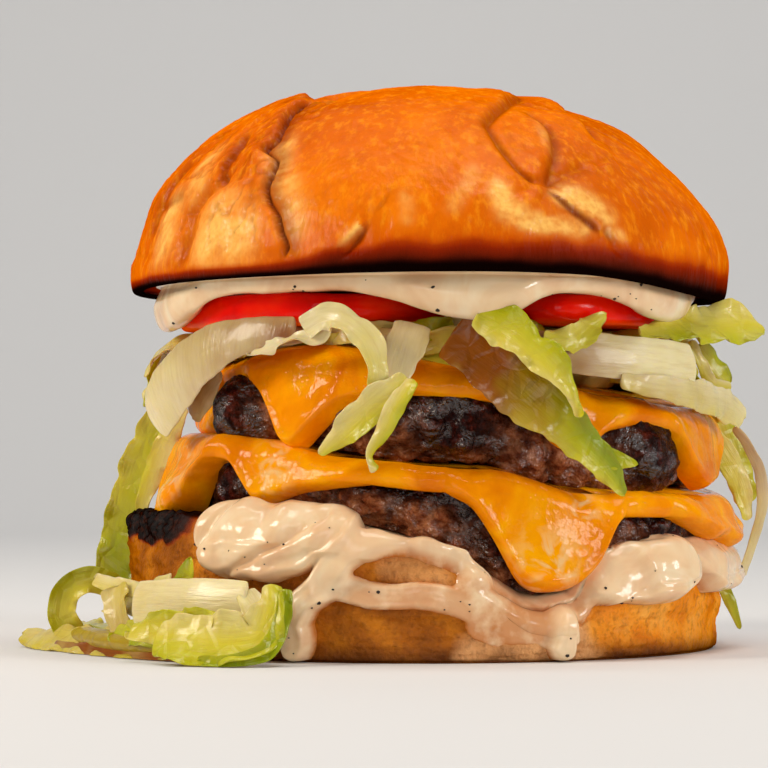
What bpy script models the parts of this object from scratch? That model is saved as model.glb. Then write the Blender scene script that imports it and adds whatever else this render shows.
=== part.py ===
"""Double cheeseburger: bottom bun, sauce, two patties under melted cheese, lettuce, tomato, sauce, top bun.

Every layer is a ball primitive moved onto that layer's section, which changes with the bearing
around the stack.  Bearings are in degrees: 0 faces the front (-Y), +90 the right (+X).
Lengths are in millimetres until the meshes are scaled to metres.
"""

import math

import bmesh
import bpy
import numpy as np
from mathutils import Vector

MM = 0.001
STEPS = 48                # facets around each layer
FRONT_CROWDING = 0.35     # how strongly the facets are gathered towards the front
GAP = 0.4                 # clear space between neighbouring pieces
RIM = 50.0                # radius at which the rim heights below are given

BUN_RADIUS = 57.5
BUN_BASE = 68.7           # height of the cut face of the top bun
BUN_TOP = 106.9
HEEL_RADIUS = 56.0
HEEL_CORNER = 1.6
SAUCE_CENTRE = 1.0        # sauce under the lower patty, on the axis
SAUCE_RIM = 2.2           # and near its edge
PATTY_CORNER = 1.6
CHEESE = 2.4              # a melted slice where it lies flat
BED_RADIUS = 42.5
BED_TOP = 59.3
TOMATO_BASE = 59.8
TOMATO_TOP = 65.5
LEAF = 1.1                # thickness given to one shred of lettuce

# Height of each settled surface near its rim, by bearing.
HEEL_TOP = [
    (-135, 23.5), (-90, 24.5), (-55, 25), (-40, 24), (-25, 23.5), (-10, 21), (0, 18.5), (10, 14),
    (18, 9.4), (27, 9.4), (35, 14), (42, 17), (60, 18), (90, 18.5), (135, 20), (180, 22),
]
LOWER_PATTY_TOP = [
    (-135, 36), (-90, 38), (-54, 37.8), (-43, 36.6), (-36, 36.4), (-25, 33.6), (-16, 32.8), (0, 31.2),
    (14, 31.2), (23, 28.8), (28, 27.2), (40, 27), (58, 27), (90, 27.5), (135, 30), (180, 33),
]
UPPER_PATTY_TOP = [
    (-135, 49), (-90, 50), (-54, 50.5), (-43, 51), (-28, 49.5), (0, 48.4), (14, 47.8), (28, 46), (40, 44),
    (50, 43.5), (62, 42.5), (90, 43), (135, 45), (180, 47),
]

# Lowest point of each soft layer, by bearing.  A value above the surface it lies on means that
# the layer stops that far short of the edge.
LOWER_SAUCE_EDGE = [
    (-180, 27), (-140, 34), (-70, 32), (-62, 29), (-55.6, 26.0), (-49, 22.5), (-43, 17.7), (-36, 12),
    (-29.5, 9.5), (-28, 0.6), (-23, 0.6), (-21.4, 6.7), (-15, 10.2), (-8, 11.5), (0, 10.7), (6, 8.4),
    (9, 3), (16, 3.4), (19, 3.4), (23, 1), (25, 0.6), (29, 0.6), (31, 10.5), (40, 10.2), (47, 10.6),
    (53, 14.5), (58, 14), (64, 10.5), (75, 12), (90, 13.5), (110, 15), (130, 13), (150, 15), (160, 18.9),
    (170, 22.8),
]
LOWER_CHEESE_EDGE = [
    (-150, 32), (-120, 28), (-90, 26.6), (-72, 26.4), (-64, 28.6), (-53, 29.2), (-47, 31), (-40, 34),
    (-34.6, 28.4), (-26, 28.5), (-15.5, 30.6), (0, 29), (7.5, 28), (15.3, 18), (19.4, 12.8), (25.7, 12.8),
    (34.8, 17.7), (36.1, 23.5), (45.6, 25), (60, 23.4), (85, 20.6), (110, 22.5), (140, 27), (180, 28),
]
UPPER_CHEESE_EDGE = [
    (-150, 41), (-120, 45), (-90, 46), (-60, 48), (-43, 48.5), (-34.6, 45.5), (-29.2, 39.5),
    (-25.9, 37.4), (-22.7, 39.5), (-16.5, 45), (0, 46), (13.3, 45.4), (21.4, 42.6), (30.1, 39.1),
    (37.3, 40.5), (45.6, 41), (55.8, 38.5), (62.5, 33), (72.4, 31.4), (85, 37), (115, 41), (150, 36),
    (180, 44),
]
UPPER_SAUCE_EDGE = [
    (-120, 65.2), (-90, 60.2), (-76, 59.9), (-66, 62.2), (-58, 63.2), (-44, 64.5), (-28, 65.4),
    (-16.6, 65.4), (-6.2, 64.2), (2, 61), (10, 60.1), (16.4, 60.7), (25, 65), (35, 65.2), (46, 62.6),
    (58, 61.2), (70, 62.5), (85, 65), (130, 65.2), (170, 62.5),
]

UPPER_SAUCE_RADIUS = [
    (-130, 51), (-90, 53), (-40, 53.8), (20, 53.6), (50, 53), (75, 50.8), (95, 50), (160, 51),
]


def around(knots, bearing):
    """Value at a bearing of a quantity given by (bearing, value) pairs, straight between them."""
    bearings, values = zip(*knots)
    return float(np.interp(bearing, bearings, values, period=360))


def settled(centre, rim, radius, bearing):
    """Height of a surface that runs straight from `centre` on the axis to its rim height."""
    return centre + (around(rim, bearing) - centre) * radius / RIM


def scene_material(name, colour, roughness, coat=0.0):
    """One Principled material per piece."""
    material = bpy.data.materials.new(name)
    material.use_nodes = True
    shader = material.node_tree.nodes["Principled BSDF"]
    shader.inputs["Base Color"].default_value = (*colour, 1.0)
    shader.inputs["Roughness"].default_value = roughness
    shader.inputs["Coat Weight"].default_value = coat
    return material


def place(name, body, material):
    """Closes a bmesh given in millimetres into a named object of the burger's collection."""
    bmesh.ops.scale(body, vec=Vector((MM, MM, MM)), verts=body.verts)
    bmesh.ops.recalc_face_normals(body, faces=body.faces)
    for face in body.faces:
        face.smooth = True
    mesh = bpy.data.meshes.new(name)
    body.to_mesh(mesh)
    body.free()
    mesh.materials.append(material)
    item = bpy.data.objects.new(name, mesh)
    burger.objects.link(item)
    return item


def layer(name, section, material, steps=STEPS):
    """A ball primitive moved onto a section: section(bearing) lists (radius, height) pairs.

    The pairs run from the underside on the axis, out around the edge, to the top on the axis.
    """
    rows = len(section(0.0)) - 1
    body = bmesh.new()
    bmesh.ops.create_uvsphere(body, u_segments=steps, v_segments=rows, radius=1.0)
    outlines = {}
    for vertex in body.verts:
        turn = math.atan2(vertex.co.x, -vertex.co.y)
        row = round(math.acos(max(-1.0, min(1.0, -vertex.co.z))) / math.pi * rows)
        step = round(turn * steps / math.tau) % steps
        if step not in outlines:
            turned = math.tau * step / steps
            bearing = turned - FRONT_CROWDING * math.sin(turned)
            outlines[step] = (bearing, section(math.degrees(bearing)))
        bearing, outline = outlines[step]
        radius, height = outline[row]
        if row in (0, rows):
            height = section(0.0)[row][1]
        vertex.co = (radius * math.sin(bearing), -radius * math.cos(bearing), height)
    return place(name, body, material)


# ---------------------------------------------------------------- sections

def heel_radius(bearing):
    """Bottom bun: a little longer to the left, drawn in at the right."""
    turn = math.radians(bearing)
    return HEEL_RADIUS - 1.3 * math.sin(turn) + 0.4 * math.cos(3 * turn + 0.6)


def lower_patty_radius(bearing):
    """Lower patty: sits 4 mm to the right, with a ragged hand-pressed edge."""
    turn = math.radians(bearing)
    return 50.3 + 4.0 * math.sin(turn) + 0.5 * math.cos(5 * turn)


def upper_patty_radius(bearing):
    """Upper patty: smaller, also to the right."""
    turn = math.radians(bearing)
    return 46.6 + 4.4 * math.sin(turn) + 0.4 * math.cos(4 * turn + 1.0)


def sauce_depth(radius):
    return SAUCE_CENTRE + (SAUCE_RIM - SAUCE_CENTRE) * radius / RIM


def heel_surface(radius, bearing):
    return settled(21.0, HEEL_TOP, radius, bearing)


def lower_patty_underside(radius, bearing):
    return heel_surface(radius, bearing) + sauce_depth(radius) + 2 * GAP


def lower_patty_surface(radius, bearing):
    return settled(35.5, LOWER_PATTY_TOP, radius, bearing)


def upper_patty_underside(radius, bearing):
    return lower_patty_surface(radius, bearing) + CHEESE + 2 * GAP


def upper_patty_surface(radius, bearing):
    return settled(53.0, UPPER_PATTY_TOP, radius, bearing)


def bottom_bun_section(bearing):
    """Flat floor, a side that leans in slightly at the foot, a soft rim and a flat cut face."""
    rim = heel_radius(bearing)
    top = heel_surface(rim, bearing)
    foot = rim - 1.6
    return [
        (0, 0), (0.6 * foot, 0), (foot - 0.8, 0), (foot, 0.7), (rim - 0.3, 0.45 * top),
        (rim, top - HEEL_CORNER), (rim - 0.3 * HEEL_CORNER, top - 0.3 * HEEL_CORNER),
        (rim - HEEL_CORNER, heel_surface(rim - HEEL_CORNER, bearing)), (0, heel_surface(0, bearing)),
    ]


def patty_section(radius_of, underside, surface):
    """Disc of pressed meat: a small firm corner above, a rounder one below."""
    def section(bearing):
        rim = radius_of(bearing)
        low = underside(rim, bearing)
        top = surface(rim, bearing)
        round_below = min(4.0, 0.45 * (top - low))
        inner = rim - round_below
        return [
            (0, underside(0, bearing)), (inner, underside(inner, bearing)),
            (inner + 0.5 * round_below, low + 0.14 * round_below),
            (inner + 0.87 * round_below, low + 0.5 * round_below),
            (rim, low + round_below),
            (rim, top - PATTY_CORNER), (rim - 0.3 * PATTY_CORNER, top - 0.3 * PATTY_CORNER),
            (rim - PATTY_CORNER, surface(rim - PATTY_CORNER, bearing)), (0, surface(0, bearing)),
        ]
    return section


def skin_section(radius_of, surface, corner, edge, flat, side, clearance):
    """Soft sheet lying on a disc, bending over its edge and hanging down its side.

    flat(radius) is the thickness on top, side and clearance are (bearing, millimetre) pairs for
    the hanging part, edge gives the height of the lower end.
    """
    def section(bearing):
        rim = radius_of(bearing)
        top = surface(rim, bearing)
        thick = around(side, bearing)
        gap = around(clearance, bearing)
        low = around(edge, bearing)
        if low > top + GAP:
            return stopped_short(rim - corner - (low - top), bearing, gap)
        tip = min(low, top - corner - 0.8)
        drop = top - corner - tip
        bend = rim - corner
        rest = surface(bend, bearing) + GAP
        shoulder = flat(bend)
        under = [
            (0, surface(0, bearing) + GAP), (bend, rest),
            (rim + 0.7 * gap, top - 0.3 * corner + 0.7 * gap),
            (rim + gap, top - corner),
            (rim + gap, top - corner - 0.5 * drop),
            (rim + gap, top - corner - 0.9 * drop),
        ]
        over = [
            (0, under[0][1] + flat(0)), (bend, rest + shoulder),
            (rim + gap + 0.6 * thick, top - 0.3 * corner + 0.3 * shoulder + 0.7 * GAP),
            (rim + gap + 0.85 * thick, top - corner - 0.15 * drop),
            (rim + gap + thick, top - corner - 0.5 * drop),
            (rim + gap + 0.95 * thick, top - corner - 0.85 * drop),
        ]
        return under + [(rim + gap + 0.5 * thick, tip)] + over[::-1]

    def stopped_short(end, bearing, gap):
        shares = (0, 0.9, 0.95, 0.965, 0.98, 0.99)
        lift = (GAP, GAP, gap, gap, gap, gap)
        under = [(share * end, surface(share * end, bearing) + up) for share, up in zip(shares, lift)]
        fall = (1, 1, 0.6, 0.55, 0.4, 0.25)
        over = [(r, z + flat(r) * f) for (r, z), f in zip(under, fall)]
        return under + [(end, surface(end, bearing) + gap + 0.2)] + over[::-1]

    return section


def cheese_depth(radius):
    return CHEESE


def bed_section(bearing):
    """Layer of shredded lettuce filling the space between the upper cheese and the tomato."""
    turn = math.radians(bearing)
    rim = BED_RADIUS + 1.2 * math.sin(5 * turn) + 0.8 * math.cos(8 * turn)

    def under(radius):
        return upper_patty_surface(radius, bearing) + CHEESE + 2 * GAP
    return [
        (0, under(0)), (0.93 * rim, under(0.93 * rim)),
        (rim, 0.5 * (under(rim) + BED_TOP)), (0.96 * rim, BED_TOP - 0.3), (0, BED_TOP),
    ]


def upper_sauce_section(bearing):
    """Sauce under the top bun, with a lip that hangs down outside the tomato."""
    outer = around(UPPER_SAUCE_RADIUS, bearing)
    low = around(UPPER_SAUCE_EDGE, bearing)
    ceiling = BUN_BASE - GAP
    floor = TOMATO_TOP + GAP
    inner = min(50.6, outer - 2.2)
    return [
        (0, floor), (0.6 * inner, floor), (inner, floor), (inner + 0.1, min(floor - 0.2, low + 0.9)),
        (0.5 * (inner + outer), min(low, floor - 0.4)), (outer - 0.2, min(low + 1.0, floor)),
        (outer, 0.6 * ceiling + 0.4 * min(low + 1.0, floor)), (outer - 0.6, ceiling),
        (0.6 * inner, ceiling), (0, ceiling),
    ]


def bun_fold(bearing, share):
    """Top bun: the skin right of a fold at the front left stands proud of the skin left of it."""
    line = -26.0 - 7.0 * math.sin(math.pi * share)
    step = max(0.0, min(1.0, (bearing - line + 5.0) / 7.0))
    fade = max(0.0, 1.0 - abs(bearing - line) / 70.0)
    return 1.5 * (step - 0.5) * fade * math.sin(math.pi * min(1.0, max(0.0, 1.15 * share))) ** 0.5


def top_bun_section(bearing):
    """Baked dome: (radius share, height share) of the skin above a flat cut face.

    The rim droops a little below the cut face and the right shoulder is lower than the left.
    """
    turn = math.radians(bearing)
    rim = BUN_RADIUS + 0.4 * math.sin(3 * turn + 0.5)
    rise = BUN_TOP - BUN_BASE
    droop = 1.2 + 1.4 * math.sin(turn)
    shrug = 2.6 * max(0.0, math.sin(turn)) ** 2
    dome = [
        (1.0, 0.075), (0.994, 0.17), (0.977, 0.30), (0.94, 0.44), (0.86, 0.61), (0.74, 0.755),
        (0.60, 0.86), (0.42, 0.94), (0.22, 0.985),
    ]
    skin = [(0.985 * rim, BUN_BASE - 0.6 * droop)]
    for across, up in dome:
        proud = bun_fold(bearing, up) if 0.1 < up < 0.95 else 0.0
        proud -= shrug * math.exp(-((up - 0.64) / 0.18) ** 2)
        skin.append((across * rim + proud * across, BUN_BASE + up * rise + 0.4 * proud * up))
    underside = [(0, BUN_BASE), (0.93 * rim, BUN_BASE), (0.965 * rim, BUN_BASE - droop)]
    return underside + skin + [(0, BUN_TOP)]


def tomato(name, centre, half_width, half_depth, lean, material):
    """Oval slice from a cylinder primitive with a bevelled rim, pressed back where it would stick out."""
    body = bmesh.new()
    bmesh.ops.create_cone(
        body, cap_ends=True, segments=26, radius1=1.0, radius2=1.0, depth=TOMATO_TOP - TOMATO_BASE
    )
    bmesh.ops.scale(body, vec=Vector((half_width, half_depth, 1.0)), verts=body.verts)
    rims = [edge for edge in body.edges if abs(edge.verts[0].co.z - edge.verts[1].co.z) < 1e-6]
    bmesh.ops.bevel(body, geom=rims, offset=1.3, segments=2, profile=0.5, affect="EDGES")
    for vertex in body.verts:
        vertex.co.z *= 1.0 - lean * abs(vertex.co.x) / half_width
    middle = 0.5 * (TOMATO_BASE + TOMATO_TOP)
    bmesh.ops.translate(body, vec=Vector((centre[0], centre[1], middle)), verts=body.verts)
    for vertex in body.verts:
        out = vertex.co.xy.length
        if out > 43.0:
            vertex.co.xy *= (43.0 + 6.4 * math.tanh((out - 43.0) / 6.4)) / out
    return place(name, body, material)


# ---------------------------------------------------------------- lettuce

def between(stations, share):
    """Smooth curve through evenly spaced stations, each a tuple of numbers."""
    last = len(stations) - 1
    at = share * last
    index = min(int(at), last - 1)
    t = at - index
    p0 = np.array(stations[max(index - 1, 0)], float)
    p1 = np.array(stations[index], float)
    p2 = np.array(stations[index + 1], float)
    p3 = np.array(stations[min(index + 2, last)], float)
    bend = (2 * p0 - 5 * p1 + 4 * p2 - p3) * t * t + (3 * p1 - p0 - 3 * p2 + p3) * t ** 3
    return 0.5 * (2 * p1 + (p2 - p0) * t + bend)


def shred(name, facing, stations, material):
    """Ribbon of leaf: a grid primitive laid along stations (bearing, radius, height, half width).

    Its flat side looks out at the bearing `facing`, or straight out from the stack when None.
    """
    cells = 2 * (len(stations) - 1)
    body = bmesh.new()
    bmesh.ops.create_grid(body, x_segments=cells, y_segments=2, size=1.0)
    for vertex in body.verts:
        share = 0.5 * (vertex.co.x + 1.0)
        side = vertex.co.y
        bearing, radius, height, half = between(stations, share)
        ahead = between(stations, min(share + 0.02, 1.0))
        behind = between(stations, max(share - 0.02, 0.0))
        point = spot(bearing, radius, height)
        along = (spot(*ahead[:3]) - spot(*behind[:3])).normalized()
        outward = spot(bearing if facing is None else facing, 1.0, 0.0)
        flat = along.cross(outward).normalized()
        vertex.co = point + flat * side * half
    item = place(name, body, material)
    shell = item.modifiers.new("Leaf", "SOLIDIFY")
    shell.thickness = LEAF * MM
    shell.offset = 0.0
    shell.use_even_offset = False
    return item


def spot(bearing, radius, height):
    turn = math.radians(bearing)
    return Vector((radius * math.sin(turn), -radius * math.cos(turn), height))


def heap(name, material):
    """Lettuce lying on the table along the front left of the bun, one uneven solid.

    A ball primitive drawn out along a bearing: its poles are the two ends of the heap.
    """
    inner = [(-98, 66), (-88, 62), (-75, 59), (-45, 59), (-36, 62.5), (-27, 64.5), (-22, 66)]
    outer = [
        (-98, 76), (-91, 80), (-86, 78), (-80, 74), (-70, 71), (-58, 70), (-50, 71), (-40, 77), (-29, 77),
        (-22, 69),
    ]
    height = [
        (-98, 2.5), (-88, 3.4), (-83, 10), (-78, 14.6), (-64, 13.4), (-50, 13.4), (-41, 15.5),
        (-30, 13.4), (-22, 9),
    ]
    body = bmesh.new()
    bmesh.ops.create_uvsphere(body, u_segments=10, v_segments=16, radius=1.0)
    for vertex in body.verts:
        along = math.acos(max(-1.0, min(1.0, vertex.co.z))) / math.pi
        bearing = -98.0 + 76.0 * along
        round_end = math.sin(math.pi * along) ** 0.4 if 0 < along < 1 else 0.0
        girth = math.hypot(vertex.co.x, vertex.co.y) or 1.0
        out = vertex.co.x / girth
        up = vertex.co.y / girth
        near = around(inner, bearing)
        far = around(outer, bearing)
        tall = around(height, bearing)
        radius = 0.5 * (near + far) + 0.5 * (far - near) * out * round_end
        level = 0.3 + 0.5 * tall * (1.0 + up * round_end)
        if up < -0.2:
            level = 0.3 + 0.02 * tall * (1.0 - round_end)
        vertex.co = spot(bearing, radius, level)
    return place(name, body, material)


# ---------------------------------------------------------------- build

for old in list(bpy.data.objects):
    bpy.data.objects.remove(old, do_unlink=True)

burger = bpy.data.collections.new("double_cheeseburger")
bpy.context.scene.collection.children.link(burger)

layer("bottom_bun", bottom_bun_section, scene_material("toasted_bun", (0.58, 0.28, 0.07), 0.6))
layer(
    "lower_sauce",
    skin_section(
        heel_radius, heel_surface, HEEL_CORNER, LOWER_SAUCE_EDGE, sauce_depth,
        side=[
            (-60, 3), (-44, 4.6), (-30, 4.2), (-24, 3.2), (-15, 2.0), (0, 1.8), (8, 2.6), (20, 3.4),
            (32, 4), (42, 5), (55, 4.8), (75, 5.2), (95, 5.0), (130, 2.4), (160, 2), (180, 1.6),
        ],
        clearance=[
            (-62, GAP), (-55.6, 1.6), (-49, 3.0), (-42.6, GAP), (150, GAP), (160, 2.5), (170, 1.8),
            (180, GAP),
        ],
    ),
    scene_material("burger_sauce_lower", (0.86, 0.63, 0.46), 0.25),
)
layer(
    "lower_patty",
    patty_section(lower_patty_radius, lower_patty_underside, lower_patty_surface),
    scene_material("seared_beef_lower", (0.075, 0.028, 0.015), 0.4),
)
layer(
    "lower_cheese",
    skin_section(
        lower_patty_radius, lower_patty_surface, PATTY_CORNER, LOWER_CHEESE_EDGE, cheese_depth,
        side=[
            (-110, 3), (-80, 5), (-62, 5), (-46, 3.4), (-30, 2.6), (0, 2.4), (20, 3.6), (40, 2.6),
            (60, 3.2), (80, 4.4), (110, 3), (180, 2.4),
        ],
        clearance=[(-180, GAP), (179, GAP)],
    ),
    scene_material("melted_cheese_lower", (1.0, 0.36, 0.02), 0.3),
)
layer(
    "upper_patty",
    patty_section(upper_patty_radius, upper_patty_underside, upper_patty_surface),
    scene_material("seared_beef_upper", (0.065, 0.022, 0.012), 0.35),
)
layer(
    "upper_cheese",
    skin_section(
        upper_patty_radius, upper_patty_surface, PATTY_CORNER, UPPER_CHEESE_EDGE, cheese_depth,
        side=[
            (-90, 2.4), (-40, 2.6), (-26, 4), (-12, 2.4), (20, 2.6), (45, 3), (70, 3.6), (110, 3),
            (180, 2.4),
        ],
        clearance=[(-180, GAP), (179, GAP)],
    ),
    scene_material("melted_cheese_upper", (1.0, 0.39, 0.03), 0.3),
)
leaf_green = scene_material("shredded_lettuce", (0.55, 0.66, 0.16), 0.35)
layer("lettuce_bed", bed_section, scene_material("lettuce_bed_leaf", (0.62, 0.68, 0.25), 0.4))
tomato_flesh = scene_material("tomato_flesh", (0.75, 0.05, 0.015), 0.25)
tomato("tomato_left", (-22.0, -13.0), 27.8, 32.0, 0.06, tomato_flesh)
tomato("tomato_right", (27.0, -11.0), 20.0, 31.0, 0.06, tomato_flesh)
layer("upper_sauce", upper_sauce_section, scene_material("burger_sauce_upper", (0.88, 0.68, 0.5), 0.25))
layer("top_bun", top_bun_section, scene_material("glazed_bun", (0.72, 0.23, 0.03), 0.3, 0.4))

# Facing, then stations: bearing, radius, height, half width.
SHREDS = {
    "lettuce_left_rib": (-35, [
        (-34, 47.5, 57.2, 1.6), (-45, 49.8, 55.4, 3.8), (-57.5, 54.4, 50.6, 6.2),
        (-65, 55.2, 43.8, 3.8),
    ]),
    "lettuce_left_fall": (-15, [
        (-97, 49.5, 51, 2.5), (-97, 54, 43, 3.2), (-97, 57.6, 33.5, 3.8), (-96, 60.6, 24, 2.8),
        (-95, 60.7, 14, 2.6),
    ]),
    "lettuce_front_curl": (None, [
        (-36, 55, 56.2, 2), (-27, 56.5, 57.8, 2.5), (-18, 57.5, 58.3, 3), (-11, 58, 52.5, 3),
    ]),
    "lettuce_front_tip": (None, [
        (-4.5, 57.5, 47.8, 2), (-9, 57.5, 45, 3.6), (-15, 56.5, 41, 3), (-20.5, 55.5, 37.2, 0.8),
    ]),
    "lettuce_front_tail": (None, [
        (-3, 60.5, 48.5, 1.4), (-6.5, 60.5, 43, 1.8), (-9.8, 59.5, 37.2, 1.4), (-9.4, 59, 34, 1.6),
    ]),
    "lettuce_front_long": (None, [
        (-2, 47, 55.5, 4), (9, 53.2, 52.8, 4.6), (20, 56, 47.3, 4.2), (29, 58, 40, 3),
        (35.5, 59, 30.5, 0.8),
    ]),
    "lettuce_front_short": (None, [
        (12, 56.2, 58, 1.2), (17, 58.2, 55.6, 3), (22, 60, 51, 2.6), (25.2, 60.5, 45, 0.8),
    ]),
    "lettuce_right_rib": (None, [
        (29, 49.5, 54.6, 3.4), (40, 53.4, 53.7, 4), (51, 54.6, 53.2, 4), (62, 56.5, 52.8, 3.8),
    ]),
    "lettuce_right_leaf": (35, [
        (48, 56.5, 58.9, 1.2), (62, 58, 59.3, 2), (74, 59.2, 60.8, 4), (82, 61.2, 61.2, 3.8),
        (86, 63, 60.8, 2.0),
    ]),
    "lettuce_right_curl": (40, [
        (77, 51.5, 57, 1.6), (79, 54.6, 55.4, 2.2), (80, 56, 52, 2.4), (81, 57, 49.6, 1.2),
    ]),
    "lettuce_right_lower": (None, [
        (38, 57.5, 45.8, 1.6), (54, 58.6, 45.4, 3), (68, 58.4, 45, 3.2), (79, 59.6, 43, 2),
    ]),
    "lettuce_right_fall": (20, [
        (97, 53, 51, 2.2), (97, 58.6, 43.4, 3), (97, 60, 35.6, 3.6), (97, 62, 27.6, 1.6),
    ]),
    "lettuce_right_strand": (None, [
        (87, 59.6, 41.5, 0.9), (88, 62.2, 36.5, 1), (88, 63.8, 29, 1), (88, 63.4, 21, 1),
        (87, 62.3, 14, 0.8),
    ]),
    "lettuce_right_tail": (10, [
        (88, 57.2, 11.0, 1.1), (88, 58.1, 7.6, 1.3), (88, 59.3, 3.6, 0.5),
    ]),
    "lettuce_rear_right": (None, [
        (126, 48, 55, 3), (131, 55, 51, 4), (137, 58, 43, 3.4), (141, 59, 36, 1),
    ]),
    "lettuce_rear": (None, [
        (168, 48, 55, 3), (176, 55, 52, 4), (186, 57, 45.5, 3.4), (193, 57.5, 41, 1),
    ]),
    "lettuce_rear_left": (None, [
        (-128, 47, 55.5, 3), (-132, 54.5, 50, 4), (-137, 57.5, 41, 4), (-140, 58.5, 32, 1),
    ]),
}
for shred_name, (shred_facing, shred_stations) in SHREDS.items():
    shred(shred_name, shred_facing, shred_stations, leaf_green)
heap("lettuce_heap", leaf_green)
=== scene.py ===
"""Double cheeseburger, dressed for rendering over its solid model.

Bearings are in degrees around the stack: 0 is the front (-Y), +90 the right (+X).
Lengths are millimetres; a mesh is turned to metres when it is laid.
"""

import math

import bpy
import numpy as np
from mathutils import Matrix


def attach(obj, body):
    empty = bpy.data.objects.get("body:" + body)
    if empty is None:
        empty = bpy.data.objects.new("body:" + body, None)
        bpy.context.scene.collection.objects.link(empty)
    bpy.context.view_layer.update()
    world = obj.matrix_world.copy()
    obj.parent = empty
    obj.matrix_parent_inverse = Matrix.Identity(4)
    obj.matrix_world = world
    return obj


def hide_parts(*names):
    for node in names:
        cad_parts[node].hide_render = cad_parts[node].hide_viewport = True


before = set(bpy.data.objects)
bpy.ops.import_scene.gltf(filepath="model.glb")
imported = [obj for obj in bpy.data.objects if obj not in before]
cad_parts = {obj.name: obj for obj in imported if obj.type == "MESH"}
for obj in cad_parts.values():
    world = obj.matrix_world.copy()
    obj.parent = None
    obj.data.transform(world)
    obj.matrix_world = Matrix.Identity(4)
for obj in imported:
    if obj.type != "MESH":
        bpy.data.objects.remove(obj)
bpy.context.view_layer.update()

# ------------------------------------------------------------------ bottom bun
# Lower half of a brioche bun: soft crumb, baked skin on its side, cut face toasted on a griddle until
# the rim at the left charred.  It carries the stack and is pressed down at the front right.

MM = 0.001
HEEL_MIDDLE = 21.0  # height of the bottom bun at its middle
HEEL_TOP = [
    (-135, 23.5), (-90, 24.8), (-55, 25.2), (-40, 24), (-25, 23.5), (-10, 21), (0, 18.5), (10, 14),
    (18, 9.4), (27, 9.4), (35, 14), (42, 17), (60, 18), (90, 18.5), (135, 20), (180, 22),
]


def linear(code):
    """Linear colour of an sRGB hex code: each channel c becomes ((c + 0.055) / 1.055) ** 2.4."""
    channels = np.array([int(code[i:i + 2], 16) for i in (1, 3, 5)]) / 255.0
    low = channels / 12.92
    high = ((channels + 0.055) / 1.055) ** 2.4
    return (*np.where(channels <= 0.04045, low, high), 1.0)


def add(tree, kind, inputs=None, stops=None, **settings):
    """Adds one node: settings are its own values, inputs are links or plain socket values."""
    made = tree.nodes.new(kind)
    for name, value in settings.items():
        setattr(made, name, value)
    for name, value in (inputs or {}).items():
        socket = made.inputs[name]
        if isinstance(value, bpy.types.NodeSocket):
            tree.links.new(value, socket)
        else:
            socket.default_value = value
    if stops:
        ramp = made.color_ramp
        while len(ramp.elements) < len(stops):
            ramp.elements.new(0.5)
        for element, (position, colour) in zip(ramp.elements, stops):
            element.position = position
            element.color = linear(colour) if isinstance(colour, str) else (colour, colour, colour, 1.0)
    return made


def new_surface(name):
    """Empty Principled material: returns it with its tree and its shader node."""
    material = bpy.data.materials.new(name)
    material.use_nodes = True
    tree = material.node_tree
    return material, tree, tree.nodes["Principled BSDF"]


def front_gloss(tree, strong, socket, weak=0.0):
    """Drives a gloss socket: strong where the surface faces the viewer, weak towards its silhouette,
    where a greasy crust scatters light instead of mirroring the room."""
    away = add(tree, "ShaderNodeLayerWeight", {"Blend": 0.5}).outputs["Facing"]
    gloss = add(tree, "ShaderNodeMapRange", {"Value": away, "From Min": 0.25, "From Max": 0.75})
    for name, value in (("To Min", strong), ("To Max", weak)):
        if isinstance(value, bpy.types.NodeSocket):
            tree.links.new(value, gloss.inputs[name])
        else:
            gloss.inputs[name].default_value = value
    tree.links.new(gloss.outputs["Result"], socket)


def ring(bearing, pairs, blur=2.5):
    """Value around the stack from (bearing, value) pairs: straight between them, then averaged over
    a bell of `blur` degrees, so that edges of soft food run smoothly."""
    fine = np.arange(-180.0, 180.0, 0.5)
    at, values = zip(*pairs)
    raw = np.interp(fine, at, values, period=360)
    offsets = np.arange(-30, 31)
    bell = np.exp(-0.5 * (offsets * 0.5 / blur) ** 2)
    padded = np.concatenate([raw[-30:], raw, raw[:30]])
    smooth = np.convolve(padded, bell / bell.sum(), mode="valid")
    return np.interp(np.asarray(bearing, float), fine, smooth, period=360)


def hashed(x, y, z, seed):
    """Random number between 0 and 1 for each whole-numbered cell."""
    h = x.astype(np.uint32) * np.uint32(73856093)
    h ^= y.astype(np.uint32) * np.uint32(19349663)
    h ^= z.astype(np.uint32) * np.uint32(83492791)
    h ^= np.uint32(seed * 2654435761 % 4294967296)
    h = (h ^ (h >> np.uint32(15))) * np.uint32(2246822519)
    h = (h ^ (h >> np.uint32(13))) * np.uint32(3266489917)
    return ((h ^ (h >> np.uint32(16))) & np.uint32(0xFFFFFF)) / float(0xFFFFFF)


def waves(points, size, seed=0, octaves=1):
    """Smooth noise between -1 and 1: random values on a lattice of `size` mm, blended between its
    corners with t*t*(3-2t); each further octave has half the size and half the height."""
    total = np.zeros(points.shape[:-1])
    height = 1.0
    span = np.broadcast_to(np.asarray(size, float), (3,))
    for octave in range(octaves):
        q = points / (span / 2 ** octave) + 17.3 * octave
        cell = np.floor(q).astype(np.int64)
        t = q - cell
        t = t * t * (3 - 2 * t)
        value = np.zeros(points.shape[:-1])
        for corner in range(8):
            shift = np.array([corner & 1, corner >> 1 & 1, corner >> 2 & 1])
            share = np.prod(np.where(shift == 1, t, 1 - t), axis=-1)
            at = cell + shift
            value += share * hashed(at[..., 0], at[..., 1], at[..., 2], seed + octave)
        total += height * (2 * value - 1)
        height *= 0.5
    return total / (2 - 2 * height)


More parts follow.
